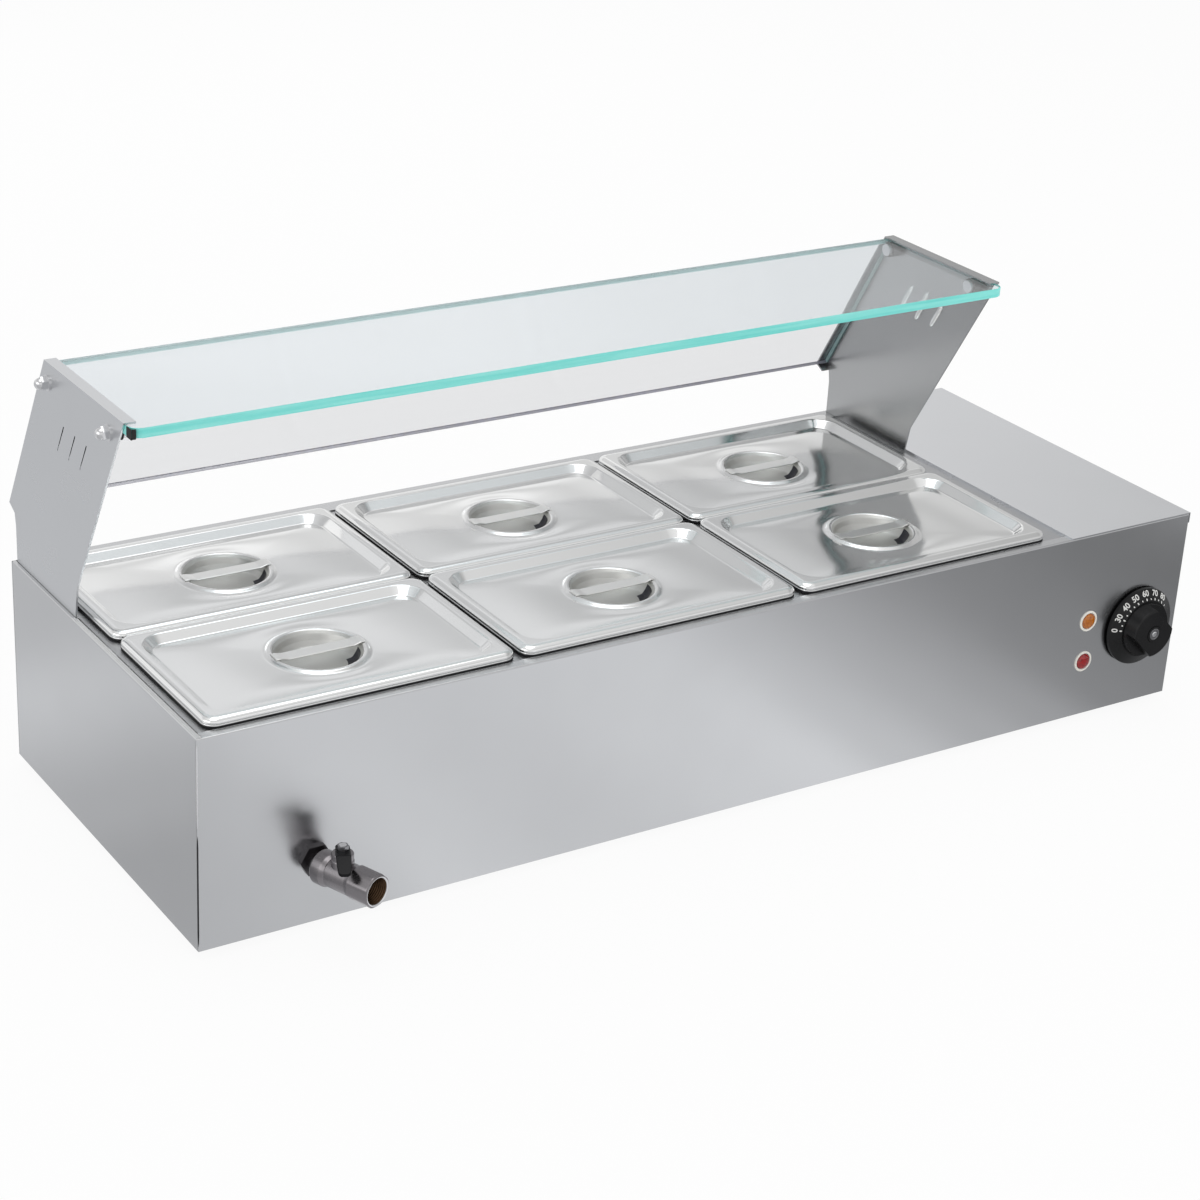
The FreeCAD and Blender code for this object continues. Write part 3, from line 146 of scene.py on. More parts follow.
def plastic(name, colour, roughness, speck=0.25, size=900, shine=0.5):
    """Moulded plastic with a fine pebbled skin."""
    material, tree, shader = start_material(name, colour, roughness)
    shader.inputs["Specular IOR Level"].default_value = shine
    wear = place_noise(tree, 35, 5)
    shade_by(tree, shader, wear, colour, 0.85, 1.2, 0.004)
    roughness_by(tree, shader, wear, roughness * 0.85, roughness * 1.2)
    add_bump(tree, shader, place_noise(tree, size), speck, 0.00005)
    return material


def polished(name, colour, roughness, vary=0.04):
    """Bright machined metal with faint turning marks."""
    material, tree, shader = start_material(name, colour, roughness, 1.0)
    marks = place_noise(tree, 260)
    shade_by(tree, shader, marks, colour, 0.9, 1.06)
    roughness_by(tree, shader, marks, roughness, roughness + vary)
    add_bump(tree, shader, place_noise(tree, 1800, 2), 0.06, 0.00003)
    return material


def clear_glass(name, colour, bending):
    """Clear sheet of glass with faint smears."""
    material, tree, shader = start_material(name, colour, 0.0)
    shader.inputs["Transmission Weight"].default_value = 1.0
    shader.inputs["IOR"].default_value = bending
    roughness_by(tree, shader, place_noise(tree, 14, 4, (1, 0.4, 1)), 0.0, 0.02, 0.5, 0.8)
    return material


def glass_edge(name, deep, bright, through):
    """Ground and polished edge of float glass, where the colour of its depth shows."""
    material, tree, shader = start_material(name, bright, 0.2)
    shader.inputs["Transmission Weight"].default_value = through
    shader.inputs["IOR"].default_value = 1.5
    depth = spread(tree, place_noise(tree, 60, 3, (0.15, 1, 4)), 0, 1)
    colour_by(tree, shader, depth, deep, bright)
    add_bump(tree, shader, place_noise(tree, 900, 2), 0.05, 0.00005)
    return material


def lens(name, deep, bright):
    """Clear coloured lens with a faceted inside."""
    material, tree, shader = start_material(name, bright, 0.10)
    shader.inputs["Coat Weight"].default_value = 0.8
    place = add_node(tree, "TexCoord").outputs["Object"]
    facets = add_node(tree, "TexVoronoi", {"Vector": place, "Scale": 900}).outputs["Distance"]
    colour_by(tree, shader, facets, bright, deep)
    add_bump(tree, shader, facets, 0.15, 0.0003)
    return material


PANEL = sheet_steel("panel_steel", (0.63, 0.635, 0.645), 0.25, 2, cloud=0.02, vary=0.015)
SIDE_PANEL = sheet_steel("side_panel_steel", (0.61, 0.615, 0.625), 0.25, 2, cloud=0.02, vary=0.02)
GUARD = sheet_steel("guard_steel", (0.67, 0.68, 0.695), 0.28, 2, cloud=0.015, vary=0.01, wave=0.05)
# Painted shade: the right guard plate is a darker copy of the left plate's steel, for its shaded inner face.
RIGHT_GUARD_SHADED = sheet_steel("right_guard_painted_shade", (0.42, 0.425, 0.425), 0.26, 2,
                          cloud=0.015, vary=0.01, wave=0.05)
COVER = sheet_steel("cover_steel", (0.88, 0.89, 0.91), 0.22, 1, cloud=0.015, vary=0.01, wave=0.05)
DECK = sheet_steel("deck_steel", (0.50, 0.505, 0.515), 0.28, 0)
# Painted shade: the tank, base plate, pan grid and bulkhead take a darker copy of the steel, as they sit in
# shadow.
SHADED_TANK = sheet_steel("tank_steel", (0.30, 0.30, 0.305), 0.30, 0)
PAN = sheet_steel("pan_steel", (0.74, 0.745, 0.745), 0.18, 0, cloud=0.03, vary=0.03)
LID = sheet_steel("lid_steel", (0.90, 0.902, 0.896), 0.11, 0, cloud=0.01, vary=0.01, wave=0.03)
# Painted shade in the dish: the recess takes a darker copy of the lid steel, and the wall under the strap's
# right end a near-black one.
RECESS = sheet_steel("recess_painted_shade", (0.60, 0.60, 0.58), 0.42, 0, cloud=0.02, vary=0.01, wave=0.03)
RECESS_SHADE = sheet_steel("recess_painted_deep_shade", (0.05, 0.05, 0.06), 0.40, 0, cloud=0.02, vary=0.01, wave=0.03)
CREST = sheet_steel("crest_steel", (0.84, 0.84, 0.835), 0.22, 0, cloud=0.01, vary=0.01, wave=0.03)
STRAP = sheet_steel("strap_steel", (0.84, 0.84, 0.825), 0.30, 0, cloud=0.01, vary=0.01, wave=0.03)
BRIGHT = polished("bright_metal", (0.74, 0.74, 0.75), 0.10)
DULL = polished("dull_metal", (0.30, 0.30, 0.31), 0.30)
TAP = polished("tap_metal", (0.27, 0.255, 0.265), 0.20, 0.08)
THREAD = polished("tap_thread", (0.10, 0.06, 0.035), 0.34, 0.15)
BRASS = polished("tap_brass", (0.42, 0.28, 0.15), 0.30, 0.15)
ELEMENT = polished("element_steel", (0.30, 0.285, 0.27), 0.35, 0.12)
GLASS = clear_glass("top_glass", (0.94, 0.98, 1.0), 1.5)
REAR_GLASS = clear_glass("rear_glass", (0.80, 0.805, 0.815), 1.1)
EDGE = glass_edge("front_glass_edge", (0.19, 0.84, 0.77), (0.36, 0.97, 0.90), 0.12)
BACK_EDGE = glass_edge("back_glass_edge", (0.36, 0.62, 0.62), (0.50, 0.74, 0.74), 0.3)
DARK_EDGE = glass_edge("low_glass_edge", (0.20, 0.20, 0.24), (0.36, 0.35, 0.42), 0.2)
# Near-black painted shadow: the shade under the pan rims, inside the gills and in the corner seam.
PAINTED_SHADOW = plastic("gap_shadow", (0.010, 0.010, 0.012), 0.8, 0.1, 500)
RUBBER = plastic("rubber", (0.012, 0.012, 0.012), 0.72, 0.4, 700)
KNOB = plastic("knob_plastic", (0.005, 0.005, 0.0055), 0.28, 0.10, shine=0.28)
LEVER = plastic("lever_coating", (0.004, 0.004, 0.005), 0.24, 0.10, shine=0.16)
# Pale metal that paints the highlight of a bend, on the front left corner.
PAINTED_EDGE_HIGHLIGHT = polished("painted_edge_highlight", (0.95, 0.95, 0.96), 0.45, 0.02)
# Painted shade: the drain pipe at the tap's root is darkened for the shade and dark reflection round it.
SHADED_DRAIN_METAL = polished("drain_metal_painted_shade", (0.10, 0.095, 0.10), 0.30, 0.08)
PALE = plastic("pale_plastic", (0.62, 0.60, 0.55), 0.5)
PHENOLIC = plastic("phenolic", (0.035, 0.022, 0.014), 0.42)
GLAND = plastic("gland_plastic", (0.018, 0.018, 0.018), 0.45)
RING = plastic("ring_plastic", (0.80, 0.78, 0.72), 0.28, 0.08)
AMBER = lens("amber_lens", (0.22, 0.035, 0.0), (0.66, 0.21, 0.004))
RED = lens("red_lens", (0.08, 0.0, 0.001), (0.50, 0.002, 0.003))
INK = plastic("scale_ink", (0.72, 0.72, 0.70), 0.5, 0.1)

NODE_MATERIALS = {
    "front_panel": PANEL, "rear_panel": PANEL, "left_panel": SIDE_PANEL, "right_panel": SIDE_PANEL,
    "base_plate": SHADED_TANK, "deck_frame": DECK, "water_tank": SHADED_TANK, "pan_grid": SHADED_TANK, "control_cover": COVER,
    "bulkhead": SHADED_TANK, "feet": RUBBER, "foot_screws": BRIGHT, "left_guard_plate": GUARD,
    "right_guard_plate": RIGHT_GUARD_SHADED, "top_glass": GLASS, "rear_glass": REAR_GLASS, "glass_sleeves": RUBBER,
    "guard_bolts": GUARD, "cap_nuts": BRIGHT, "guard_screws": BRIGHT, "heating_element": ELEMENT,
    "element_flanges": BRASS, "element_nuts": BRIGHT, "thermostat_body": PHENOLIC, "thermostat_bulb": ELEMENT,
    "lamp_bezels": RING, "amber_lens": AMBER, "red_lens": RED, "lamp_bodies": PALE, "terminal_block": PALE,
    "cable_gland": GLAND, "drain_pipe": SHADED_DRAIN_METAL, "drain_lock_nut": BRASS, "tap_body": TAP,
    "spindle": BRIGHT, "knob_dial": KNOB, "knob_grip": KNOB, "knob_screw": BRIGHT, "tap_ball": BRIGHT,
    "tap_stem": BRIGHT, "tap_lever": LEVER, "lever_nut": DULL,
}
for place in PLACES:
    NODE_MATERIALS["pan_" + place] = PAN
    NODE_MATERIALS["lid_" + place] = LID
    NODE_MATERIALS["handle_" + place] = LID


def dress(obj, material):
    obj.data.materials.clear()
    obj.data.materials.append(material)


for name, material in NODE_MATERIALS.items():
    dress(nodes[name], material)

BENT_SHEETS = ("front_panel", "rear_panel", "left_panel", "right_panel", "control_cover", "deck_frame",
               "left_guard_plate", "right_guard_plate")


def soften_edges(obj, width):
    """Small round on the sharp edges of a sheet, which catches the light as a bend does."""
    bevel = obj.modifiers.new("edge round", "BEVEL")
    bevel.width = width
    bevel.segments = 2
    bevel.limit_method = "ANGLE"
    bevel.angle_limit = math.radians(50)
    bevel.use_clamp_overlap = True


for name in BENT_SHEETS:
    soften_edges(nodes[name], 0.35 * MM)


# Mesh helpers

def finish_mesh(bm, name):
    bmesh.ops.recalc_face_normals(bm, faces=bm.faces)
    mesh = bpy.data.meshes.new(name)
    bm.to_mesh(mesh)
    bm.free()
    return mesh


def new_piece(name, bm, material, body="cabinet"):
    """Puts a mesh into the scene with its material and its body."""
    obj = bpy.data.objects.new(name, finish_mesh(bm, name))
    scene.collection.objects.link(obj)
    obj.data.materials.append(material)
    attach(obj, body)
    return obj


def smooth(obj, angle):
    """Smooth shading that keeps the flat areas flat."""
    for polygon in obj.data.polygons:
        polygon.use_smooth = True
    obj.data.set_sharp_from_angle(angle=math.radians(angle))
    weights = obj.modifiers.new("flat areas", "WEIGHTED_NORMAL")
    weights.keep_sharp = True
    weights.weight = 80


def in_mm(points):
    return [(a * MM, b * MM) for a, b in points]


def world_corners(obj):
    return [obj.matrix_world @ v.co for v in obj.data.vertices]


def axes_matrix(x, y, z, place):
    """Matrix of an object from its three axes and its place."""
    return Matrix(((x.x, y.x, z.x, place.x), (x.y, y.y, z.y, place.y), (x.z, y.z, z.z, place.z),
                   (0, 0, 0, 1)))


def bend(points, radius, steps=5):
    """Replaces each inner corner of an open line by an arc of that radius."""
    line = [Vector(points[0])]
    for before, here, after in zip(points, points[1:], points[2:]):
        here = Vector(here)
        back = Vector(before) - here
        ahead = Vector(after) - here
        angle = back.angle(ahead)
        if angle > math.radians(178):
            line.append(here)
            continue
        reach = min(radius / math.tan(angle / 2), back.length * 0.49, ahead.length * 0.49)
        size = reach * math.tan(angle / 2)
        way = (back.normalized() + ahead.normalized()).normalized()
        middle = here + way * (size / math.sin(angle / 2))
        first = here + back.normalized() * reach - middle
        last = here + ahead.normalized() * reach - middle
        for k in range(steps + 1):
            line.append(middle + first.slerp(last, k / steps) * size)
    line.append(Vector(points[-1]))
    return line


CORNER_STEPS = 10
SIDE_STEPS = (26, 16)


def rounded_loop(low, high, inset, radius, z):
    """Points round a rectangle with round corners, the same number for every inset."""
    x0, y0 = low[0] + inset, low[1] + inset
    x1, y1 = high[0] - inset, high[1] - inset
    corners = [(x1 - radius, y0 + radius, -90), (x1 - radius, y1 - radius, 0),
               (x0 + radius, y1 - radius, 90), (x0 + radius, y0 + radius, 180)]
    loop = []
    for i, (cx, cy, turn) in enumerate(corners):
        for k in range(CORNER_STEPS + 1):
            angle = math.radians(turn + 90 * k / CORNER_STEPS)
            loop.append(Vector((cx + radius * math.cos(angle), cy + radius * math.sin(angle), z)))
        nx, ny, turn = corners[(i + 1) % 4]
        angle = math.radians(turn)
        start = loop[-1]
        end = Vector((nx + radius * math.cos(angle), ny + radius * math.sin(angle), z))
        steps = SIDE_STEPS[(i + 1) % 2]
        for k in range(1, steps):
            loop.append(start.lerp(end, k / steps))
    return loop


def ring_like(loop, centre, radius, z):
    """Ring whose points lie in the directions of the points of a loop."""
    ring = []
    for point in loop:
        way = Vector((point.x - centre[0], point.y - centre[1], 0)).normalized()
        ring.append(Vector((centre[0] + way.x * radius, centre[1] + way.y * radius, z)))
    return ring


def crowned_loops(outer, ring, count, crown):
    """Loops from one to the other, raised by a low crown between them."""
    loops = []
    for i in range(1, count):
        share = i / count
        lift = Vector((0, 0, crown * math.sin(math.pi * share)))
        loops.append([a.lerp(b, share) + lift for a, b in zip(outer, ring)])
    return loops


def skin_rows(bm, rows, capped=False):
    """Skin of quads over closed rows of corners, with a face over both ends if it is capped."""
    for a, b in zip(rows, rows[1:]):
        count = len(a)
        for k in range(count):
            following = (k + 1) % count
            bm.faces.new((a[k], a[following], b[following], b[k]))
    if capped:
        bm.faces.new(rows[0])
        bm.faces.new(list(reversed(rows[-1])))
    return rows


def add_loops(bm, loops):
    """Skin over closed loops of points. Returns the rows of corners."""
    return skin_rows(bm, [[bm.verts.new(point) for point in loop] for loop in loops])


def join_rims(bm, outside, inside):
    """Narrow faces between the first rows of two skins."""
    a, b = outside[0], inside[0]
    for k in range(len(a)):
        following = (k + 1) % len(a)
        bm.faces.new((a[k], b[k], b[following], a[following]))


# Lids and pans, pressed from sheet with rounded bends

SHEET = 0.8 * MM
RIM_RADIUS = 11 * MM
MOUTH_RADIUS = 22 * MM
SMALLEST_RADIUS = 2 * MM

LID_RIM = 4.6 * MM
LID_PANEL = 6.5 * MM
LID_NOSE = 6.6 * MM
LID_CROWN = 0.7 * MM
STEP_START = 9.8 * MM
STEP_END = 18.5 * MM
UNDER_SHIFT = SHEET * 0.4

# Dish of the lid, as (radius, height) from the crest over the wall to the floor
DISH = [(44.0, 0), (41.4, 0.05), (38.8, 2.0), (36.4, 2.1), (33.4, -0.9), (31.6, -5.5), (28.6, -9.9),
        (23.5, -11)]
DISH_CENTRE = 12 * MM
CREST_REACH = 43.0 * MM
RECESS_REACH = 35.5 * MM
# Turn and reach of the recess wall where near-black shade is painted
SHADE_TURN = (-33, -7)
SHADE_REACH = (22 * MM, 33 * MM)

STRAP_THICK = 1.15 * MM
STRAP_EDGE = 0.4 * MM
STRAP_DROP = 1.35 * MM
STRAP_BENDS = (34.5 * MM, 28.5 * MM)

PAN_RIM = 3 * MM
PAN_FLANGE = 12 * MM
PAN_TAPER = 7 * MM
PAN_DEPTH = 100 * MM


def pressed_loops(low, high, line, mouth_start):
    """Loops for a line of (inset, height) points. The corner radius runs from the rim's to the mouth's."""
    loops = []
    for inset, z in line:
        radius = RIM_RADIUS - inset
        if inset >= mouth_start - 2.2 * MM:
            radius = mouth_start + MOUTH_RADIUS - inset
        loops.append(rounded_loop(low, high, inset, max(radius, SMALLEST_RADIUS), z))
    return loops


def arc_points(centre, reach, rise, steps):
    """Points on a quarter of an ellipse, from its left end to its top."""
    points = []
    for k in range(steps + 1):
        angle = math.radians(180 - 90 * k / steps)
        points.append(Vector((centre[0] + reach * math.cos(angle), centre[1] + rise * math.sin(angle))))
    return points


def lid_lines(top):
    """Upper and under side of a lid from the rim to the foot of its step, as (inset, height)."""
    rim = top - LID_RIM
    panel = top - LID_PANEL
    step = bend([(LID_NOSE + 0.6 * MM, top), (STEP_START, top), (STEP_END - 1.5 * MM, panel),
                 (STEP_END + 8 * MM, panel)], 3.0 * MM, 7)[1:-1]
    upper_foot, under_foot = rim + 0.8 * MM, rim + 0.6 * MM
    upper = [Vector((0.0, rim)), Vector((0.0, upper_foot))]
    upper += arc_points((LID_NOSE, upper_foot), LID_NOSE, top - rim - 0.8 * MM, 12)[1:]
    under = [Vector((SHEET, rim)), Vector((SHEET, under_foot))]
    under += arc_points((LID_NOSE, under_foot), LID_NOSE - SHEET, top - SHEET - rim - 0.6 * MM, 8)[1:]
    return upper + step, under + [Vector((p.x + UNDER_SHIFT, p.y - SHEET)) for p in step]


def colour_dish(lid, centre, panel):
    """Gives the crest its own material and paints shade in the dish: darker steel on the recess, near-black
    on the wall under the strap's right end.
    """
    for material in (RECESS, RECESS_SHADE, CREST):
        lid.data.materials.append(material)
    for polygon in lid.data.polygons:
        x, y = polygon.center.x - centre[0], polygon.center.y - centre[1]
        radius = math.hypot(x, y)
        depth = panel - polygon.center.z
        if radius < RECESS_REACH and depth > -1.4 * MM:
            turned = math.degrees(math.atan2(y, x))
            shaded = SHADE_TURN[0] < turned < SHADE_TURN[1] and SHADE_REACH[0] < radius < SHADE_REACH[1]
            polygon.material_index = 2 if shaded and depth > 1.5 * MM else 1
        elif radius < CREST_REACH:
            polygon.material_index = 3


def make_lid(place):
    low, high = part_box("lid_" + place)
    centre = ((low[0] + high[0]) / 2, (low[1] + high[1]) / 2)
    panel = high[2] - LID_PANEL
    upper, under = lid_lines(high[2])
    bm = bmesh.new()
    skins = []
    for line, shift, drop in ((upper, 0.0, 0.0), (under, UNDER_SHIFT, SHEET)):
        loops = pressed_loops(low, high, line, STEP_START)
        dish = bend([(r * MM + shift, panel + z * MM - drop) for r, z in DISH], 3.2 * MM, 6)
        rings = [ring_like(loops[-1], centre, p.x, p.y) for p in dish]
        rings.append(ring_like(loops[-1], centre, DISH_CENTRE, dish[-1].y))
        skin = add_loops(bm, loops + crowned_loops(loops[-1], rings[0], 9, LID_CROWN) + rings)
        bm.faces.new(skin[-1])
        skins.append(skin)
    join_rims(bm, *skins)
    lid = new_piece("lid_pressed_" + place, bm, LID, "lid_" + place)
    smooth(lid, 50)
    colour_dish(lid, centre, panel)
    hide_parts("lid_" + place)


def make_strap(place):
    """Strap handle: bent strip with rounded edges, its ends laid on the ring."""
    low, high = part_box("handle_" + place)
    cx = (low[0] + high[0]) / 2
    cy = (low[1] + high[1]) / 2
    crest = high[2] - 1.2 * MM
    half = (high[0] - low[0]) / 2
    drop = crest - STRAP_DROP
    outer, inner = STRAP_BENDS
    line = bend([(-half, crest), (-outer, crest), (-inner, drop), (inner, drop), (outer, crest),
                 (half, crest)], 6 * MM, 5)
    width = (high[1] - low[1]) / 2
    edge, thick = STRAP_EDGE, STRAP_THICK
    section = [(-width, edge), (-width + edge, 0), (width - edge, 0), (width, edge), (width, thick - edge),
               (width - edge * 1.4, thick), (-width + edge * 1.4, thick), (-width, thick - edge)]
    bm = bmesh.new()
    rows = []
    for p in line:
        narrow = 1.0 - 0.10 * max(0.0, (abs(p.x) - 28 * MM) / (10 * MM))
        rows.append([bm.verts.new((cx + p.x, cy + y * narrow, p.y + z)) for y, z in section])
    skin_rows(bm, rows, capped=True)
    strap = new_piece("strap_" + place, bm, STRAP, "lid_" + place)
    smooth(strap, 35)
    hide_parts("handle_" + place)


def make_pan(place):
    low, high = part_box("pan_" + place)
    top = high[2]
    rim = top - PAN_RIM
    foot = PAN_FLANGE + PAN_TAPER
    floor = top - PAN_DEPTH
    wall = bend([(4 * MM, top), (PAN_FLANGE - 0.4 * MM, top), (foot, floor), (foot + 18 * MM, floor)],
                5 * MM, 7)[1:-1]
    outer = [Vector((0.0, rim))] + bend([(0, rim), (0, top), (PAN_FLANGE, top)], 1.2 * MM, 5)[1:-1] + wall
    under = [Vector((SHEET, rim)), Vector((SHEET, top - 1.5 * MM)), Vector((1.6 * MM, top - SHEET))]
    under += [Vector((p.x - SHEET, p.y - SHEET)) for p in wall]
    bm = bmesh.new()
    skins = [add_loops(bm, pressed_loops(low, high, line, PAN_FLANGE)) for line in (outer, under)]
    join_rims(bm, *skins)
    for skin in skins:
        bm.faces.new(skin[-1])
    pan = new_piece("pan_pressed_" + place, bm, PAN, "pan_" + place)
    smooth(pan, 50)
    # Painted shadow: a narrow band low on the rim's outer side takes the near-black material, as the shade
    # under the rim.
    pan.data.materials.append(PAINTED_SHADOW)
    for polygon in pan.data.polygons:
        x, y, z = polygon.center
        inset = min(x - low[0], high[0] - x, y - low[1], high[1] - y)
        if abs(polygon.normal.z) < 0.3 and rim - 0.1 * MM < z < rim + 1.5 * MM and inset < 4 * MM:
            polygon.material_index = 1
    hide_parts("pan_" + place)


for place in PLACES:
    make_pan(place)
    make_lid(place)
    make_strap(place)


# Guard glass with polished edges

PANE_BEVEL = 0.6 * MM
TOP_GLASS_CORNER = 9 * MM
REAR_GLASS_THICK = 4.9 * MM


def glass_pane(name, node, outline, thickness, materials, is_far):
    """Pane from a closed outline and a thickness vector, with small polished bevels and coloured edges."""
    bm = bmesh.new()
    near = [bm.verts.new(p) for p in outline]
    far = [bm.verts.new(p + thickness) for p in outline]
    bm.faces.new(near)
    bm.faces.new(list(reversed(far)))
    skin_rows(bm, [near, far])
    for face in list(bm.faces)[2:]:
        face.material_index = 1
    rim = [e for e in bm.edges if len(e.link_faces) == 2 and
           e.link_faces[0].material_index != e.link_faces[1].material_index]
    bmesh.ops.bevel(bm, geom=rim, offset=PANE_BEVEL, segments=2, profile=0.5, affect="EDGES", material=1)
    pane = new_piece(name, bm, materials[0], "cabinet")
    for material in materials[1:]:
        pane.data.materials.append(material)
    for polygon in pane.data.polygons:
        if polygon.material_index == 1 and is_far(polygon):
            polygon.material_index = 2
    smooth(pane, 30)
    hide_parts(node)
    pane.visible_shadow = False


def make_top_glass():
    low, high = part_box("top_glass")
    radius = TOP_GLASS_CORNER
    outline = []
    for cx, turn in ((low[0] + radius, 180), (high[0] - radius, 270)):
        for k in range(9):
            angle = math.radians(turn + 90 * k / 8)
            outline.append(Vector((cx + radius * math.cos(angle), low[1] + radius + radius * math.sin(angle),
                                   low[2])))
    outline += [Vector((x, high[1], low[2])) for x in (high[0], low[0])]
    back = high[1] - 1.5 * MM
    glass_pane("top_pane", "top_glass", outline, Vector((0, 0, high[2] - low[2])), (GLASS, EDGE, BACK_EDGE),
               lambda polygon: polygon.center.y > back)


def make_rear_glass():
    """The pane keeps the corners of its own solid."""
    low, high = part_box("rear_glass")
    side = sorted({(round(v.co.y, 5), round(v.co.z, 5)) for v in nodes["rear_glass"].data.vertices})
    top = max(z for y, z in side)
    bottom = min(z for y, z in side)
    upper = [p for p in side if p[1] > top - 0.006]
    lower = [p for p in side if p[1] < bottom + 0.006]
    (y0, z0), (y1, z1) = max(upper), max(lower)
    start = Vector((0, y0, z0))
    end = Vector((0, y1, z1))
    direction = Vector((0, y1 - y0, z1 - z0)).normalized()
    across = Vector((0, direction.z, -direction.y))
    if across.y > 0:
        across = -across
    begin = start + direction * max((Vector((0, *min(upper))) - start).dot(direction), 0)
    corners = ((low[0], begin), (high[0], begin), (high[0], end), (low[0], end))
    outline = [Vector((x, p.y, p.z)) for x, p in corners]
    foot = bottom + 6 * MM
    glass_pane("rear_pane", "rear_glass", outline, across * REAR_GLASS_THICK,
               (REAR_GLASS, BACK_EDGE, DARK_EDGE), lambda polygon: polygon.center.z < foot)


make_top_glass()
make_rear_glass()


# Gills of the guard plates, pad of the glass, painted highlight and shadow lines at the front corner and lip
# beside the deck

LOUVRE_COUNT = 3
LOUVRE_FIRST = 158 * MM
LOUVRE_PITCH = 22 * MM
LOUVRE_TOP = 343 * MM
LOUVRE_LENGTH = 29 * MM
LOUVRE_LEAN = math.radians(-60.33)
LOUVRE_STEPS = 24
HOOD_STEPS = 12
PLATE_THICK = 1.5 * MM
HOOD_HALF_WIDTH = 2.8 * MM
HOOD_HEIGHT = 2.7 * MM


def make_hood(name, origin, inward, along, across, material):
    """Rounded hood on the inner side of a plate, over a near-black base that paints the shade inside the
    gill.
    """
    bm = bmesh.new()
    rows = []
    half = LOUVRE_LENGTH / 2 - 0.6 * MM
    for i in range(LOUVRE_STEPS + 1):
        u = -1 + 2 * i / LOUVRE_STEPS
        wide = HOOD_HALF_WIDTH * max(0.0, 1 - abs(u) ** 5) ** 0.5 + 0.05 * MM
        tall = HOOD_HEIGHT * max(0.0, 1 - abs(u) ** 4) ** 0.5 + 0.03 * MM
        row = []
        for k in range(HOOD_STEPS + 1):
            v = math.pi * k / HOOD_STEPS
            point = origin + along * (LOUVRE_LENGTH / 2 + u * half) + across * (wide * math.cos(v))
            row.append(bm.verts.new(point + Vector((inward * tall * math.sin(v), 0, 0))))
        rows.append(row)
    for a, b in zip(rows, rows[1:]):
        for k in range(HOOD_STEPS):
            bm.faces.new((a[k], a[k + 1], b[k + 1], b[k]))
        base = bm.faces.new((a[0], b[0], b[-1], a[-1]))
        base.material_index = 1
    hood = new_piece(name, bm, material)
    hood.data.materials.append(PAINTED_SHADOW)
    smooth(hood, 60)


def make_slit(name, origin, inward, along, across, material):
    """Flat piece on the outer side of a plate, whose S-shaped edge shows as a slit."""
    bm = bmesh.new()
    depth = Vector((inward * 0.5 * MM, 0, 0))
    lines = [[], []]
    for i in range(LOUVRE_STEPS + 1):
        u = i / LOUVRE_STEPS
        bow = 0.75 * MM * math.sin(2 * math.pi * (u - 0.5)) * abs(2 * u - 1) ** 2
        lines[0].append(origin + along * (LOUVRE_LENGTH * u) - across * 1.6 * MM)
        lines[1].append(origin + along * (LOUVRE_LENGTH * u) + across * (0.55 * MM + bow))
    near = [[bm.verts.new(p) for p in line] for line in lines]
    far = [[bm.verts.new(p + depth) for p in line] for line in lines]
    for k in range(LOUVRE_STEPS):
        bm.faces.new((near[0][k], near[0][k + 1], near[1][k + 1], near[1][k]))
        bm.faces.new((far[0][k], far[1][k], far[1][k + 1], far[0][k + 1]))
        bm.faces.new((near[1][k], near[1][k + 1], far[1][k + 1], far[1][k]))
    new_piece(name, bm, material)


def make_louvres():
    """Gills pressed inward from the guard plates."""
    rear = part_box("rear_panel")[1][1]
    along = Vector((0, math.cos(LOUVRE_LEAN), math.sin(LOUVRE_LEAN)))
    across = Vector((0, -along.z, along.y))
    sides = (("left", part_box("left_guard_plate")[0][0], 1, GUARD),
             ("right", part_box("right_guard_plate")[1][0], -1, PAN))
    for i in range(LOUVRE_COUNT):
        start = Vector((0, rear - LOUVRE_FIRST + i * LOUVRE_PITCH, LOUVRE_TOP))
        for side, outer, inward, material in sides:
            inner = Vector((outer + inward * PLATE_THICK, 0, 0)) + start
            make_hood("louvre_hood_%s_%d" % (side, i), inner, inward, along, across, material)
            skin = Vector((outer + inward * 0.06 * MM, 0, 0)) + start
            make_slit("louvre_lip_%s_%d" % (side, i), skin, inward, along, across, material)


def bent_strip(name, line, width, thick, x0, material):
    """Strip of a width along X that follows an open (y, z) line."""
    bm = bmesh.new()
    rows = []
    for i, point in enumerate(line):
        way = (line[min(i + 1, len(line) - 1)] - line[max(i - 1, 0)]).normalized()
        back = point + Vector((way.y, -way.x)) * thick
        ends = ((x0, point), (x0 + width, point), (x0 + width, back), (x0, back))
        rows.append([bm.verts.new((x, p.x, p.y)) for x, p in ends])
    skin_rows(bm, rows, capped=True)
    smooth(new_piece(name, bm, material), 40)


def make_glass_pad():
    """Rubber pad folded round the front edge of the top glass, beside the left plate."""
    low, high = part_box("top_glass")
    front, under = low[1] - 0.6 * MM, low[2] - 0.6 * MM
    line = bend([(low[1] + 9 * MM, under), (front, under), (front, high[2])], 2.0 * MM, 5)
    bent_strip("glass_pad", line, 3.2 * MM, 0.5 * MM, low[0] + 0.3 * MM, RUBBER)
    end = [Vector((low[1] + (8 - k) * MM, low[2] - 0.2 * MM)) for k in range(8)]
    end.append(Vector((front, low[2] - 0.2 * MM)))
    bent_strip("glass_pad_end", end, 0.5 * MM, high[2] - low[2] + 0.2 * MM, low[0] - 0.55 * MM, RUBBER)


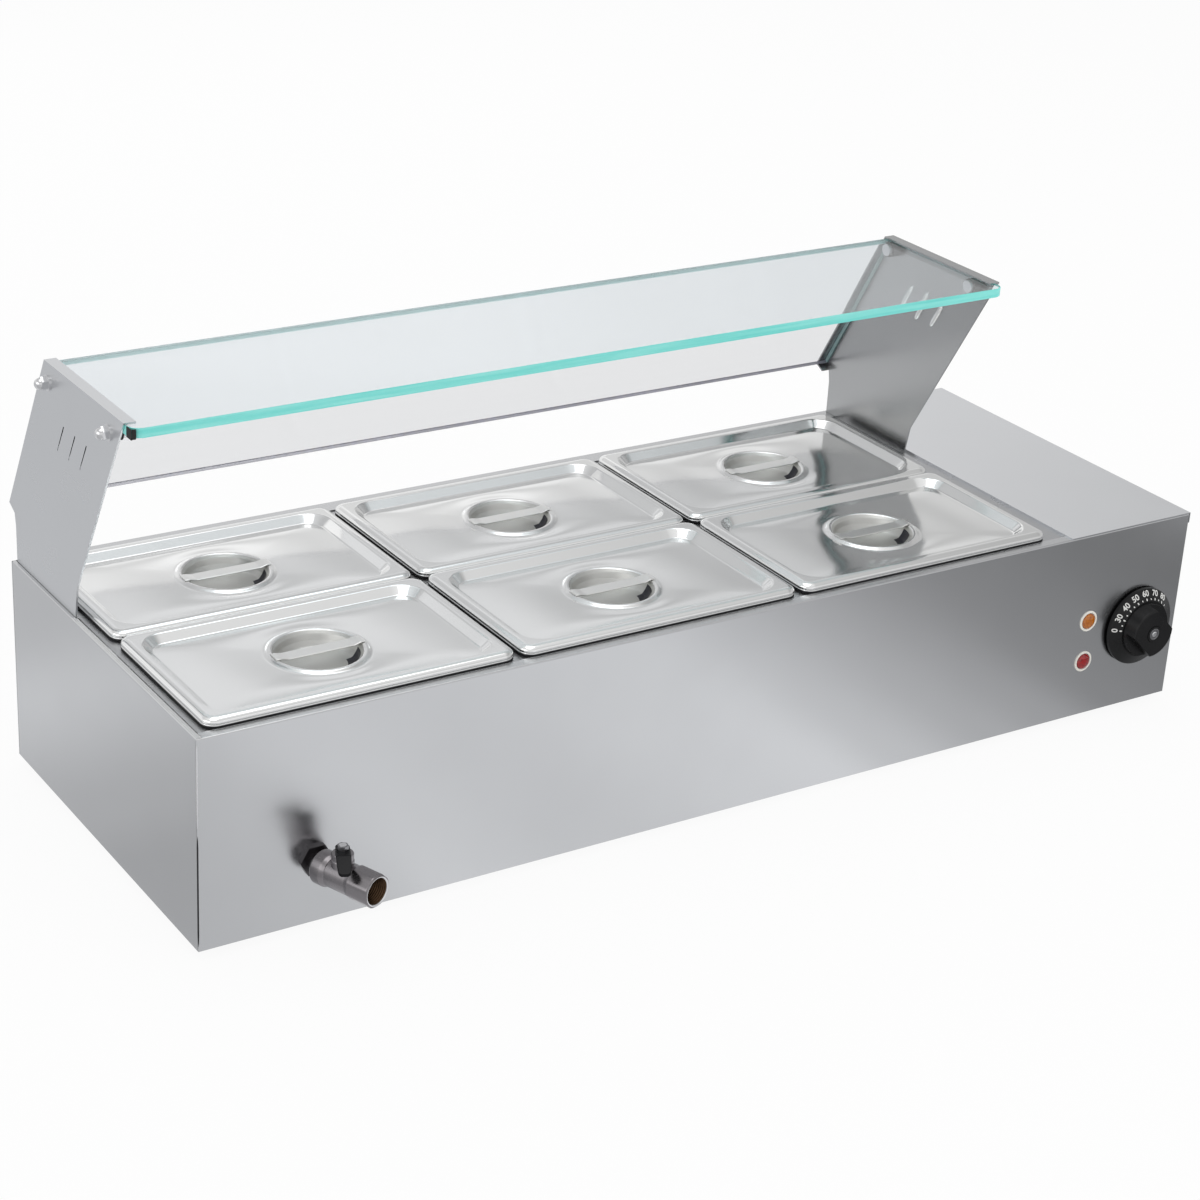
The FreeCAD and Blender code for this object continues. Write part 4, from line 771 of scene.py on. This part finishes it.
def upright_line(name, x, y, foot, head, half, material, steps=16):
    """Thin upright line with narrowed ends, on a corner of the cabinet."""
    bm = bmesh.new()
    rows = []
    for k in range(steps + 1):
        wide = half * min(1.0, 0.35 + min(k, steps - k) / 3)
        z = foot + (head - foot) * k / steps
        rows.append([bm.verts.new((x + wide * math.cos(a), y + wide * math.sin(a), z))
                     for a in map(math.radians, range(0, 360, 45))])
    skin_rows(bm, rows, capped=True)
    smooth(new_piece(name, bm, material), 60)


def make_corner_lines():
    """Front left corner: a pale strip that paints the bend's highlight above, and a near-black strip that
    paints the shadow in the open seam below.
    """
    low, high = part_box("front_panel")
    x, y = low[0] + 0.30 * MM, low[1] + 0.30 * MM
    middle = low[2] + (high[2] - low[2]) * 0.57
    upright_line("corner_seam_shadow", x, y, low[2] + 1.0 * MM, middle, 0.62 * MM, PAINTED_SHADOW)
    upright_line("corner_edge_highlight", x, y, middle + 0.5 * MM, high[2] - 1.5 * MM, 0.55 * MM, PAINTED_EDGE_HIGHLIGHT)


def make_left_lip():
    """Folded lip that closes the slot beside the deck, before the left plate."""
    low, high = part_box("left_panel")
    plate_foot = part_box("deck_frame")[0][2] + 25 * MM
    foot = min(v.y for v in world_corners(nodes["left_guard_plate"]) if v.z < plate_foot)
    line = in_mm([(0.15, -0.6), (0.15, 0.05), (0.35, 0.4), (0.95, 0.55), (1.5, 0.42), (1.75, 0.1),
                  (2.05, 0.38), (2.9, 0.5), (4.2, 0.3), (5.4, -0.2), (6.2, -0.75), (6.2, -0.9), (4.0, -0.9)])
    bm = bmesh.new()
    rows = [[bm.verts.new((low[0] + u, y, high[2] + v)) for u, v in line]
            for y in (low[1] + 0.1 * MM, foot - 0.5 * MM)]
    skin_rows(bm, rows, capped=True)
    smooth(new_piece("left_lip", bm, PAN), 60)


make_louvres()
make_glass_pad()
make_corner_lines()
make_left_lip()


# Drain tap: casting with an octagonal mouth and a threaded outlet, and the coated lever

def record_item(group, name):
    return next(item for item in group if item["name"] == name)


OUTLET = record_item(record["mounts"], "drain_outlet")
STEM = Vector(record_item(record["behaviour"]["joints"], "drain_handle_turn")["pos_m"])

# Lines of the tap as (along, radius, edge) in mm. Edge runs from 0 for round to 1 for octagonal.
TAP_COUNT = 64
TAP_HALF_FLATS = 13.0 * MM
TAP_CASTING = [(-22.5, 11.4, 0), (-22.3, 12.6, 0), (-21.4, 13.4, 0), (-20.4, 13.9, 0), (-13.0, 13.9, 0),
               (-11.6, 13.6, 0), (-10.2, 12.9, 0), (-9.0, 12.4, 0), (-8.6, 11.9, 0), (-8.0, 11.9, 0),
               (-7.6, 12.4, 0), (6.0, 12.4, 0), (11.0, 12.4, 0), (12.6, 12.5, 0.15), (13.8, 12.7, 0.6),
               (14.8, 12.95, 0.95), (15.6, 13.0, 1), (33.8, 13.0, 1), (34.7, 12.75, 0.8), (35.3, 12.35, 0.4),
               (35.5, 11.9, 0.1)]
TAP_LIP = [(35.5, 11.9, 0.1), (35.45, 11.3, 0), (34.8, 10.75, 0)]
TAP_BORE = [(18.8, 10.4, 0), (17.6, 9.0, 0), (17.5, 5.2, 0), (17.3, 5.0, 0), (8.0, 5.0, 0)]
THREAD_START = 34.6
THREAD_TURNS = 8
THREAD_PITCH = 1.9
BOSS_COUNT = 48
BOSS = [(9.0, 8.0), (9.0, 13.4), (8.6, 14.2), (8.2, 14.6), (8.2, 15.2), (8.6, 15.6), (8.6, 19.2), (8.1, 19.9),
        (3.2, 19.95)]


def make_tap():
    axis = Vector(OUTLET["axis"]).normalized()
    side = Vector((-axis.y, axis.x, 0))
    up = Vector((0, 0, 1))
    middle = Vector((STEM.x, STEM.y, OUTLET["pos_m"][2]))

    def section(bm, along, radius, edge):
        """Ring of corners across the tap."""
        row = []
        for k in range(TAP_COUNT):
            angle = 2 * math.pi * k / TAP_COUNT
            off = (angle + math.radians(22.5)) % math.radians(45) - math.radians(22.5)
            flat = min(TAP_HALF_FLATS / math.cos(off), TAP_HALF_FLATS * 1.055)
            reach = radius * (1 - edge) + flat * radius / TAP_HALF_FLATS * edge
            row.append(bm.verts.new(middle + axis * along + side * reach * math.cos(angle) +
                                    up * reach * math.sin(angle)))
        return row

    thread = []
    for turn in range(THREAD_TURNS):
        start = THREAD_START - turn * THREAD_PITCH
        thread += [(start, 10.7, 0), (start - THREAD_PITCH * 0.35, 10.05, 0),
                   (start - THREAD_PITCH * 0.55, 10.05, 0), (start - THREAD_PITCH * 0.9, 10.7, 0)]
    pieces = []
    skins = (("tap_casting", TAP_CASTING, TAP, 28), ("tap_lip", TAP_LIP, BRIGHT, 60),
             ("tap_thread", thread + TAP_BORE, THREAD, 60))
    for name, line, material, angle in skins:
        bm = bmesh.new()
        skin_rows(bm, [section(bm, a * MM, r * MM, e) for a, r, e in line])
        pieces.append(new_piece(name, bm, material))
        smooth(pieces[-1], angle)
    bm = bmesh.new()
    rows = []
    for radius, height in BOSS:
        row = []
        for k in range(BOSS_COUNT):
            angle = 2 * math.pi * k / BOSS_COUNT
            row.append(bm.verts.new(middle + side * radius * MM * math.cos(angle) +
                                    axis * radius * MM * math.sin(angle) + up * height * MM))
        rows.append(row)
    skin_rows(bm, rows)
    pieces.append(new_piece("tap_boss", bm, TAP))
    smooth(pieces[-1], 40)
    for piece in pieces:
        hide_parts("tap_body")
    soften_edges(nodes["drain_pipe"], 0.5 * MM)


# Plan of the lever as (along, half width), and its section as (share of the half width, height), in mm
LEVER_PLAN = [(-7.9, 2.4), (-7.5, 3.8), (-6.7, 4.8), (-5.4, 5.4), (0, 5.6), (6, 5.7), (9.2, 5.7), (9.9, 5.7),
              (10.8, 5.7), (14, 5.6), (18, 5.4), (22, 5.1), (24.4, 4.7), (25.6, 4.0), (26.3, 3.0),
              (26.5, 2.2)]
LEVER_SECTION = [(-1, 0.3), (-0.93, 0), (0.93, 0), (1, 0.3), (1, 2.0), (0.9, 2.4), (-0.9, 2.4), (-1, 2.0)]
LEVER_BEND = 9.9
LEVER_SLOPE = (6.4, 17.1)


def make_lever():
    """Lever of the tap: flat round the stem, then sloping down over the barrel, with rounded ends."""
    corners = world_corners(nodes["tap_lever"])
    reach = max((v - STEM).xy.length for v in corners)
    tip = [v for v in corners if (v - STEM).xy.length > reach - 1.5 * MM]
    middle = sum((v.xy for v in tip), Vector((0, 0))) / len(tip)
    way = Vector((middle.x - STEM.x, middle.y - STEM.y, 0)).normalized()
    side = Vector((-way.y, way.x, 0))
    base = Vector((STEM.x, STEM.y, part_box("lever_nut")[0][2] - 2.5 * MM))
    fall, run = LEVER_SLOPE
    bm = bmesh.new()
    rows = []
    for s, half in LEVER_PLAN:
        drop = fall * max(0.0, s - LEVER_BEND) / run
        rows.append([bm.verts.new(base + way * s * MM + side * half * u * MM +
                                  Vector((0, 0, (v + 0.05 - drop) * MM))) for u, v in LEVER_SECTION])
    skin_rows(bm, rows, capped=True)
    lever = new_piece("lever_blade", bm, LEVER, "drain_handle")
    smooth(lever, 35)
    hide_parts("tap_lever")


make_tap()
make_lever()


# Thermostat knob and lamps

DIAL_NUMBERS = ("0", "30", "40", "50", "60", "70", "80")
DIAL_FIRST = -84
DIAL_PITCH = 20.5
DIAL_SLOPE = math.atan2(5.2, 9.5)
DIAL_FLAT = 27 * MM
NUMBER_SIZE = 7.6 * MM
NUMBER_RADIUS = 33.4 * MM
TICK_RADIUS = 28.6 * MM
TICK_WIDTH = 1.3 * MM
TICK_HEIGHT = 0.12 * MM
TICK_COUNT = 24


def tick_mesh(name, length):
    """Raised stroke with round ends, its length along Y."""
    bm = bmesh.new()
    radius = TICK_WIDTH / 2
    reach = length / 2 - radius
    outline = []
    for k in range(TICK_COUNT):
        angle = 2 * math.pi * k / TICK_COUNT
        push = reach if math.sin(angle) >= 0 else -reach
        outline.append((radius * math.cos(angle), radius * math.sin(angle) + push))
    foot = [bm.verts.new((x, y, 0)) for x, y in outline]
    crown = [bm.verts.new((x * 0.8, y * 0.9, TICK_HEIGHT)) for x, y in outline]
    bm.faces.new(crown)
    skin_rows(bm, [foot, crown])
    return finish_mesh(bm, name)


def make_scale():
    """Numbers and ticks on the cone of the dial."""
    low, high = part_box("knob_dial")
    centre = Vector(((low[0] + high[0]) / 2, 0, (low[2] + high[2]) / 2))

    def place_ink(name, data, angle, radius):
        """Lays a number or tick on the cone: along the ring, outward and off the surface."""
        obj = bpy.data.objects.new(name, data)
        scene.collection.objects.link(obj)
        obj.data.materials.append(INK)
        turn = math.radians(angle)
        out = Vector((math.sin(turn), 0, math.cos(turn)))
        along = Vector((math.cos(turn), 0, -math.sin(turn)))
        up = out * math.cos(DIAL_SLOPE) + Vector((0, 1, 0)) * math.sin(DIAL_SLOPE)
        off = along.cross(up)
        height = (radius - DIAL_FLAT) * math.tan(DIAL_SLOPE)
        point = centre + out * radius + Vector((0, low[1] + height, 0)) + off * 0.04 * MM
        obj.matrix_world = axes_matrix(along, up, off, point)
        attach(obj, "thermostat_knob")

    for i, word in enumerate(DIAL_NUMBERS):
        angle = DIAL_FIRST + i * DIAL_PITCH
        text = bpy.data.curves.new("number_" + word, "FONT")
        text.body = word
        text.size = NUMBER_SIZE
        text.align_x = "CENTER"
        text.align_y = "CENTER"
        text.extrude = 0.03 * MM
        text.offset = 0.16 * MM
        place_ink("number_" + word, text, angle, NUMBER_RADIUS)
        for share, length in ((0, 2.4), (0.5, 1.6)):
            name = "tick_%d_%d" % (i, int(share * 10))
            place_ink(name, tick_mesh(name, length * MM), angle + share * DIAL_PITCH, TICK_RADIUS)


def turned_piece(name, line, centre, material, body="cabinet", count=64, closed=True):
    """Piece turned about an axis along Y from (radius, distance to the front) points."""
    bm = bmesh.new()
    rows = []
    for radius, out in line:
        row = []
        for k in range(count):
            angle = 2 * math.pi * k / count
            row.append(bm.verts.new((centre.x + radius * math.cos(angle), centre.y - out,
                                     centre.z + radius * math.sin(angle))))
        rows.append(row)
    skin_rows(bm, rows)
    if closed:
        bm.faces.new(rows[-1])
    piece = new_piece(name, bm, material, body)
    smooth(piece, 40)
    return piece


CAP_DISC = [(7.6, 0.0), (7.6, 0.6), (7.2, 0.9), (6.4, 0.9), (6.2, 0.5), (5.6, 0.35)]
CAP_RING = [(5.4, 0.2), (5.4, 0.75), (5.0, 0.95), (4.5, 0.95), (4.1, 0.7), (4.1, 0.4)]
CAP_SCREW = [(2.6, 0.3), (2.6, 0.8), (2.2, 1.15), (1.4, 1.3), (0.5, 1.35)]

# Section of a lamp's ring, inward from its reach, and of its lens
LAMP_RING = [(0, 0.02), (0, 0.55), (0.4, 0.95), (1.3, 1.05), (2.0, 0.8), (2.25, 0.2), (2.3, -0.8)]
LAMP_DOME = [(7.3, -3.0), (7.3, 0.5), (7.1, 1.1), (6.5, 1.7), (5.4, 2.35), (4.0, 2.8), (2.4, 3.1),
             (0.8, 3.25)]


def make_knob_cap():
    """Cap in the pocket of the grip: a black disc with a raised ring round a small screw."""
    low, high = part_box("knob_screw")
    centre = Vector(((low[0] + high[0]) / 2, low[1], (low[2] + high[2]) / 2))
    face = max((low[1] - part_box("knob_grip")[0][1]) * 0.5, 0.3 * MM)
    disc = [(r, min(y, face + 0.3 * MM)) for r, y in in_mm(CAP_DISC)]
    turned_piece("knob_cap", disc, centre, KNOB, "thermostat_knob")
    turned_piece("knob_cap_ring", in_mm(CAP_RING), centre, DULL, "thermostat_knob")
    turned_piece("knob_cap_screw", in_mm(CAP_SCREW), centre, BRIGHT, "thermostat_knob", 32)


def make_lamps():
    """Pilot lamps: flat pale rings and low domed lenses."""
    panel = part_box("front_panel")[0][1]
    bezel_low, bezel_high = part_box("lamp_bezels")
    reach = (bezel_high[0] - bezel_low[0]) / 2
    for name, material in (("amber", AMBER), ("red", RED)):
        low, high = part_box(name + "_lens")
        centre = Vector(((low[0] + high[0]) / 2, panel, (low[2] + high[2]) / 2))
        ring = [(reach - r, y) for r, y in in_mm(LAMP_RING)]
        bezel = turned_piece("lamp_ring_" + name, ring, centre, RING, closed=False)
        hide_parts("lamp_bezels")
        cap = turned_piece("lamp_dome_" + name, in_mm(LAMP_DOME), centre, material)
        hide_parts(name + "_lens")


make_scale()
make_knob_cap()
make_lamps()


# Floor, light and camera

WHITE = (1, 1, 1, 1)
FLOOR_REACH = 14
FLOOR_GREY = 0.95
FLOOR_GLOW = 0.92
SKY_STRENGTH = 0.62

# How bright the floor looks in metal: left to right before the object, and front to back beside it
FLOOR_ACROSS = [(-0.47, 0.69), (-0.36, 0.75), (-0.26, 0.92), (-0.1, 0.85), (0.04, 0.93), (0.13, 0.97),
                (0.20, 0.80), (0.30, 0.62), (0.37, 0.52), (0.45, 0.36), (0.52, 0.33), (0.72, 0.22),
                (1.2, 0.75)]
FLOOR_ALONG = [(-0.5, 0.60), (0.0, 0.53), (0.10, 0.60), (0.32, 0.81), (0.45, 0.68), (0.9, 0.66)]
FLOOR_BESIDE = (-0.494, -0.480)

# How bright the studio looks in metal: from the horizon up, and left to right
SKY_UP = [(0.0, 0.70), (0.22, 0.92), (0.335, 0.98), (0.35, 0.86), (0.374, 0.64), (0.394, 0.72), (0.413, 0.80),
          (0.427, 0.83), (0.45, 1.0), (0.47, 1.0), (0.58, 0.72), (0.72, 0.66), (1.0, 0.9)]
SKY_ACROSS = [(-1.0, 1.0), (0.47, 1.0), (0.55, 0.88), (0.60, 0.79), (0.63, 0.74), (0.68, 0.64), (1.0, 0.64)]

# Place, target, size and power of each lamp
LAMPS = {
    "overhead": ((-0.1, 0.1, 2.4), (0, 0, 0.1), (2.2, 1.2), 9),
    "front_right": ((1.75, -2.1, 1.0), (0.1, 0, 0.2), (3.8, 1.9), 21),
    "left": ((-2.5, -0.5, 1.3), (0, 0, 0.2), (2.2, 1.5), 8),
    "back": ((0.6, 2.6, 1.5), (0, 0, 0.2), (2.4, 1.2), 9),
}
UNMIRRORED_LAMPS = ("front_right", "back")


def light_path(tree):
    """Two tests: 1 for straight views, through glass as well, and 1 for views by way of a mirror."""
    path = add_node(tree, "LightPath").outputs
    straight = add_node(tree, "Math", {0: path["Is Camera Ray"], 1: path["Is Transmission Ray"]},
                        operation="MAXIMUM")
    mirrored = add_node(tree, "Math", {0: path["Glossy Depth"], 1: path["Is Diffuse Ray"]},
                        operation="SUBTRACT", use_clamp=True)
    return straight.outputs[0], mirrored.outputs[0]


def grey_ramp(tree, value, levels, tint):
    """Grey level by a value, from (value, level) stops."""
    low, high = levels[0][0], levels[-1][0]
    ramp = add_node(tree, "ValToRGB", {"Fac": spread(tree, value, 0, 1, low, high)})
    ramp.color_ramp.interpolation = "EASE"
    stops = ramp.color_ramp.elements
    for at, grey in levels:
        share = (at - low) / (high - low)
        stop = stops[0] if at == low else stops[-1] if at == high else stops.new(share)
        stop.color = (grey, grey * (1 + tint), grey * (1 + 3 * tint), 1)
    return ramp.outputs["Color"]


def choose(tree, share, first, second):
    return add_node(tree, "MixShader", {"Fac": share, 1: first, 2: second}).outputs[0]


def glow(tree, kind, colour, strength=1.0):
    return add_node(tree, kind, {"Color": colour, "Strength": strength}).outputs[0]


def axis_values(tree, coordinates):
    place = add_node(tree, "TexCoord").outputs[coordinates]
    return add_node(tree, "SeparateXYZ", {0: place}).outputs


def make_floor():
    """Pale floor. Straight views see near white with the shadow; metal sees it shade off to the right."""
    bm = bmesh.new()
    ends = ((-FLOOR_REACH, -FLOOR_REACH), (FLOOR_REACH, -FLOOR_REACH), (FLOOR_REACH, FLOOR_REACH),
            (-FLOOR_REACH, FLOOR_REACH))
    bm.faces.new([bm.verts.new((x, y, 0)) for x, y in ends])
    floor = bpy.data.objects.new("floor", finish_mesh(bm, "floor"))
    scene.collection.objects.link(floor)
    material = bpy.data.materials.new("floor")
    material.use_nodes = True
    tree = material.node_tree
    tree.nodes.clear()
    straight, mirrored = light_path(tree)
    matte = add_node(tree, "BsdfDiffuse", {"Color": (FLOOR_GREY, FLOOR_GREY, FLOOR_GREY, 1)}).outputs[0]
    share = add_node(tree, "Math", {0: straight, 1: FLOOR_GLOW}, operation="MULTIPLY").outputs[0]
    seen = choose(tree, share, matte, glow(tree, "Emission", WHITE))
    axes = axis_values(tree, "Object")
    across = grey_ramp(tree, axes["X"], FLOOR_ACROSS, 0.01)
    along = grey_ramp(tree, axes["Y"], FLOOR_ALONG, 0.01)
    beside = spread(tree, axes["X"], 1.0, 0.0, *FLOOR_BESIDE)
    mirror = glow(tree, "Emission", mix_colour(tree, beside, across, along))
    add_node(tree, "OutputMaterial", {"Surface": choose(tree, mirrored, seen, mirror)})
    floor.data.materials.append(material)


def make_world():
    """White backdrop for straight views, plain light for the rest, and a shaded studio in metal."""
    world = bpy.data.worlds.new("studio")
    scene.world = world
    world.use_nodes = True
    tree = world.node_tree
    tree.nodes.clear()
    straight, mirrored = light_path(tree)
    plain = glow(tree, "Background", WHITE, SKY_STRENGTH)
    seen = choose(tree, straight, plain, glow(tree, "Background", WHITE))
    axes = axis_values(tree, "Generated")
    rising = grey_ramp(tree, axes["Z"], SKY_UP, 0.002)
    aside = grey_ramp(tree, axes["X"], SKY_ACROSS, 0.0)
    mirror = glow(tree, "Background", mix_colour(tree, 1.0, rising, aside, "MULTIPLY"))
    add_node(tree, "OutputWorld", {"Surface": choose(tree, mirrored, seen, mirror)})


def make_lamp(name, place, target, size, power):
    lamp = bpy.data.lights.new(name, "AREA")
    lamp.shape = "RECTANGLE"
    lamp.size, lamp.size_y = size
    lamp.energy = power
    obj = bpy.data.objects.new(name, lamp)
    scene.collection.objects.link(obj)
    obj.location = place
    obj.rotation_euler = (Vector(target) - Vector(place)).to_track_quat("-Z", "Y").to_euler()
    if name in UNMIRRORED_LAMPS:
        obj.visible_glossy = False
        obj.visible_transmission = False


CAMERA_AZIMUTH = math.radians(-33.92)
CAMERA_ELEVATION = math.radians(24.463)
CAMERA_ROLL = math.radians(3.294)
CAMERA_LENS = 81.879
SENSOR_WIDTH = 36
CAMERA_FROM_CORNER = (-0.7367, -1.6063, 1.1017)


def make_camera():
    """Camera at the photo's angle, placed from the front panel's lower left corner."""
    back = Vector((math.sin(CAMERA_AZIMUTH) * math.cos(CAMERA_ELEVATION),
                   -math.cos(CAMERA_AZIMUTH) * math.cos(CAMERA_ELEVATION), math.sin(CAMERA_ELEVATION)))
    right = Vector((0, 0, 1)).cross(back).normalized()
    up = back.cross(right)
    across, along = math.cos(CAMERA_ROLL), math.sin(CAMERA_ROLL)
    right, up = right * across + up * along, up * across - right * along
    data = bpy.data.cameras.new("camera")
    data.lens = CAMERA_LENS
    data.sensor_width = SENSOR_WIDTH
    camera = bpy.data.objects.new("camera", data)
    scene.collection.objects.link(camera)
    place = Vector(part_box("front_panel")[0]) + Vector(CAMERA_FROM_CORNER)
    camera.matrix_world = axes_matrix(right, up, back, place)
    scene.camera = camera


make_floor()
make_world()
for name, (place, target, size, power) in LAMPS.items():
    make_lamp(name, place, target, size, power)
make_camera()
scene.view_settings.view_transform = "Standard"
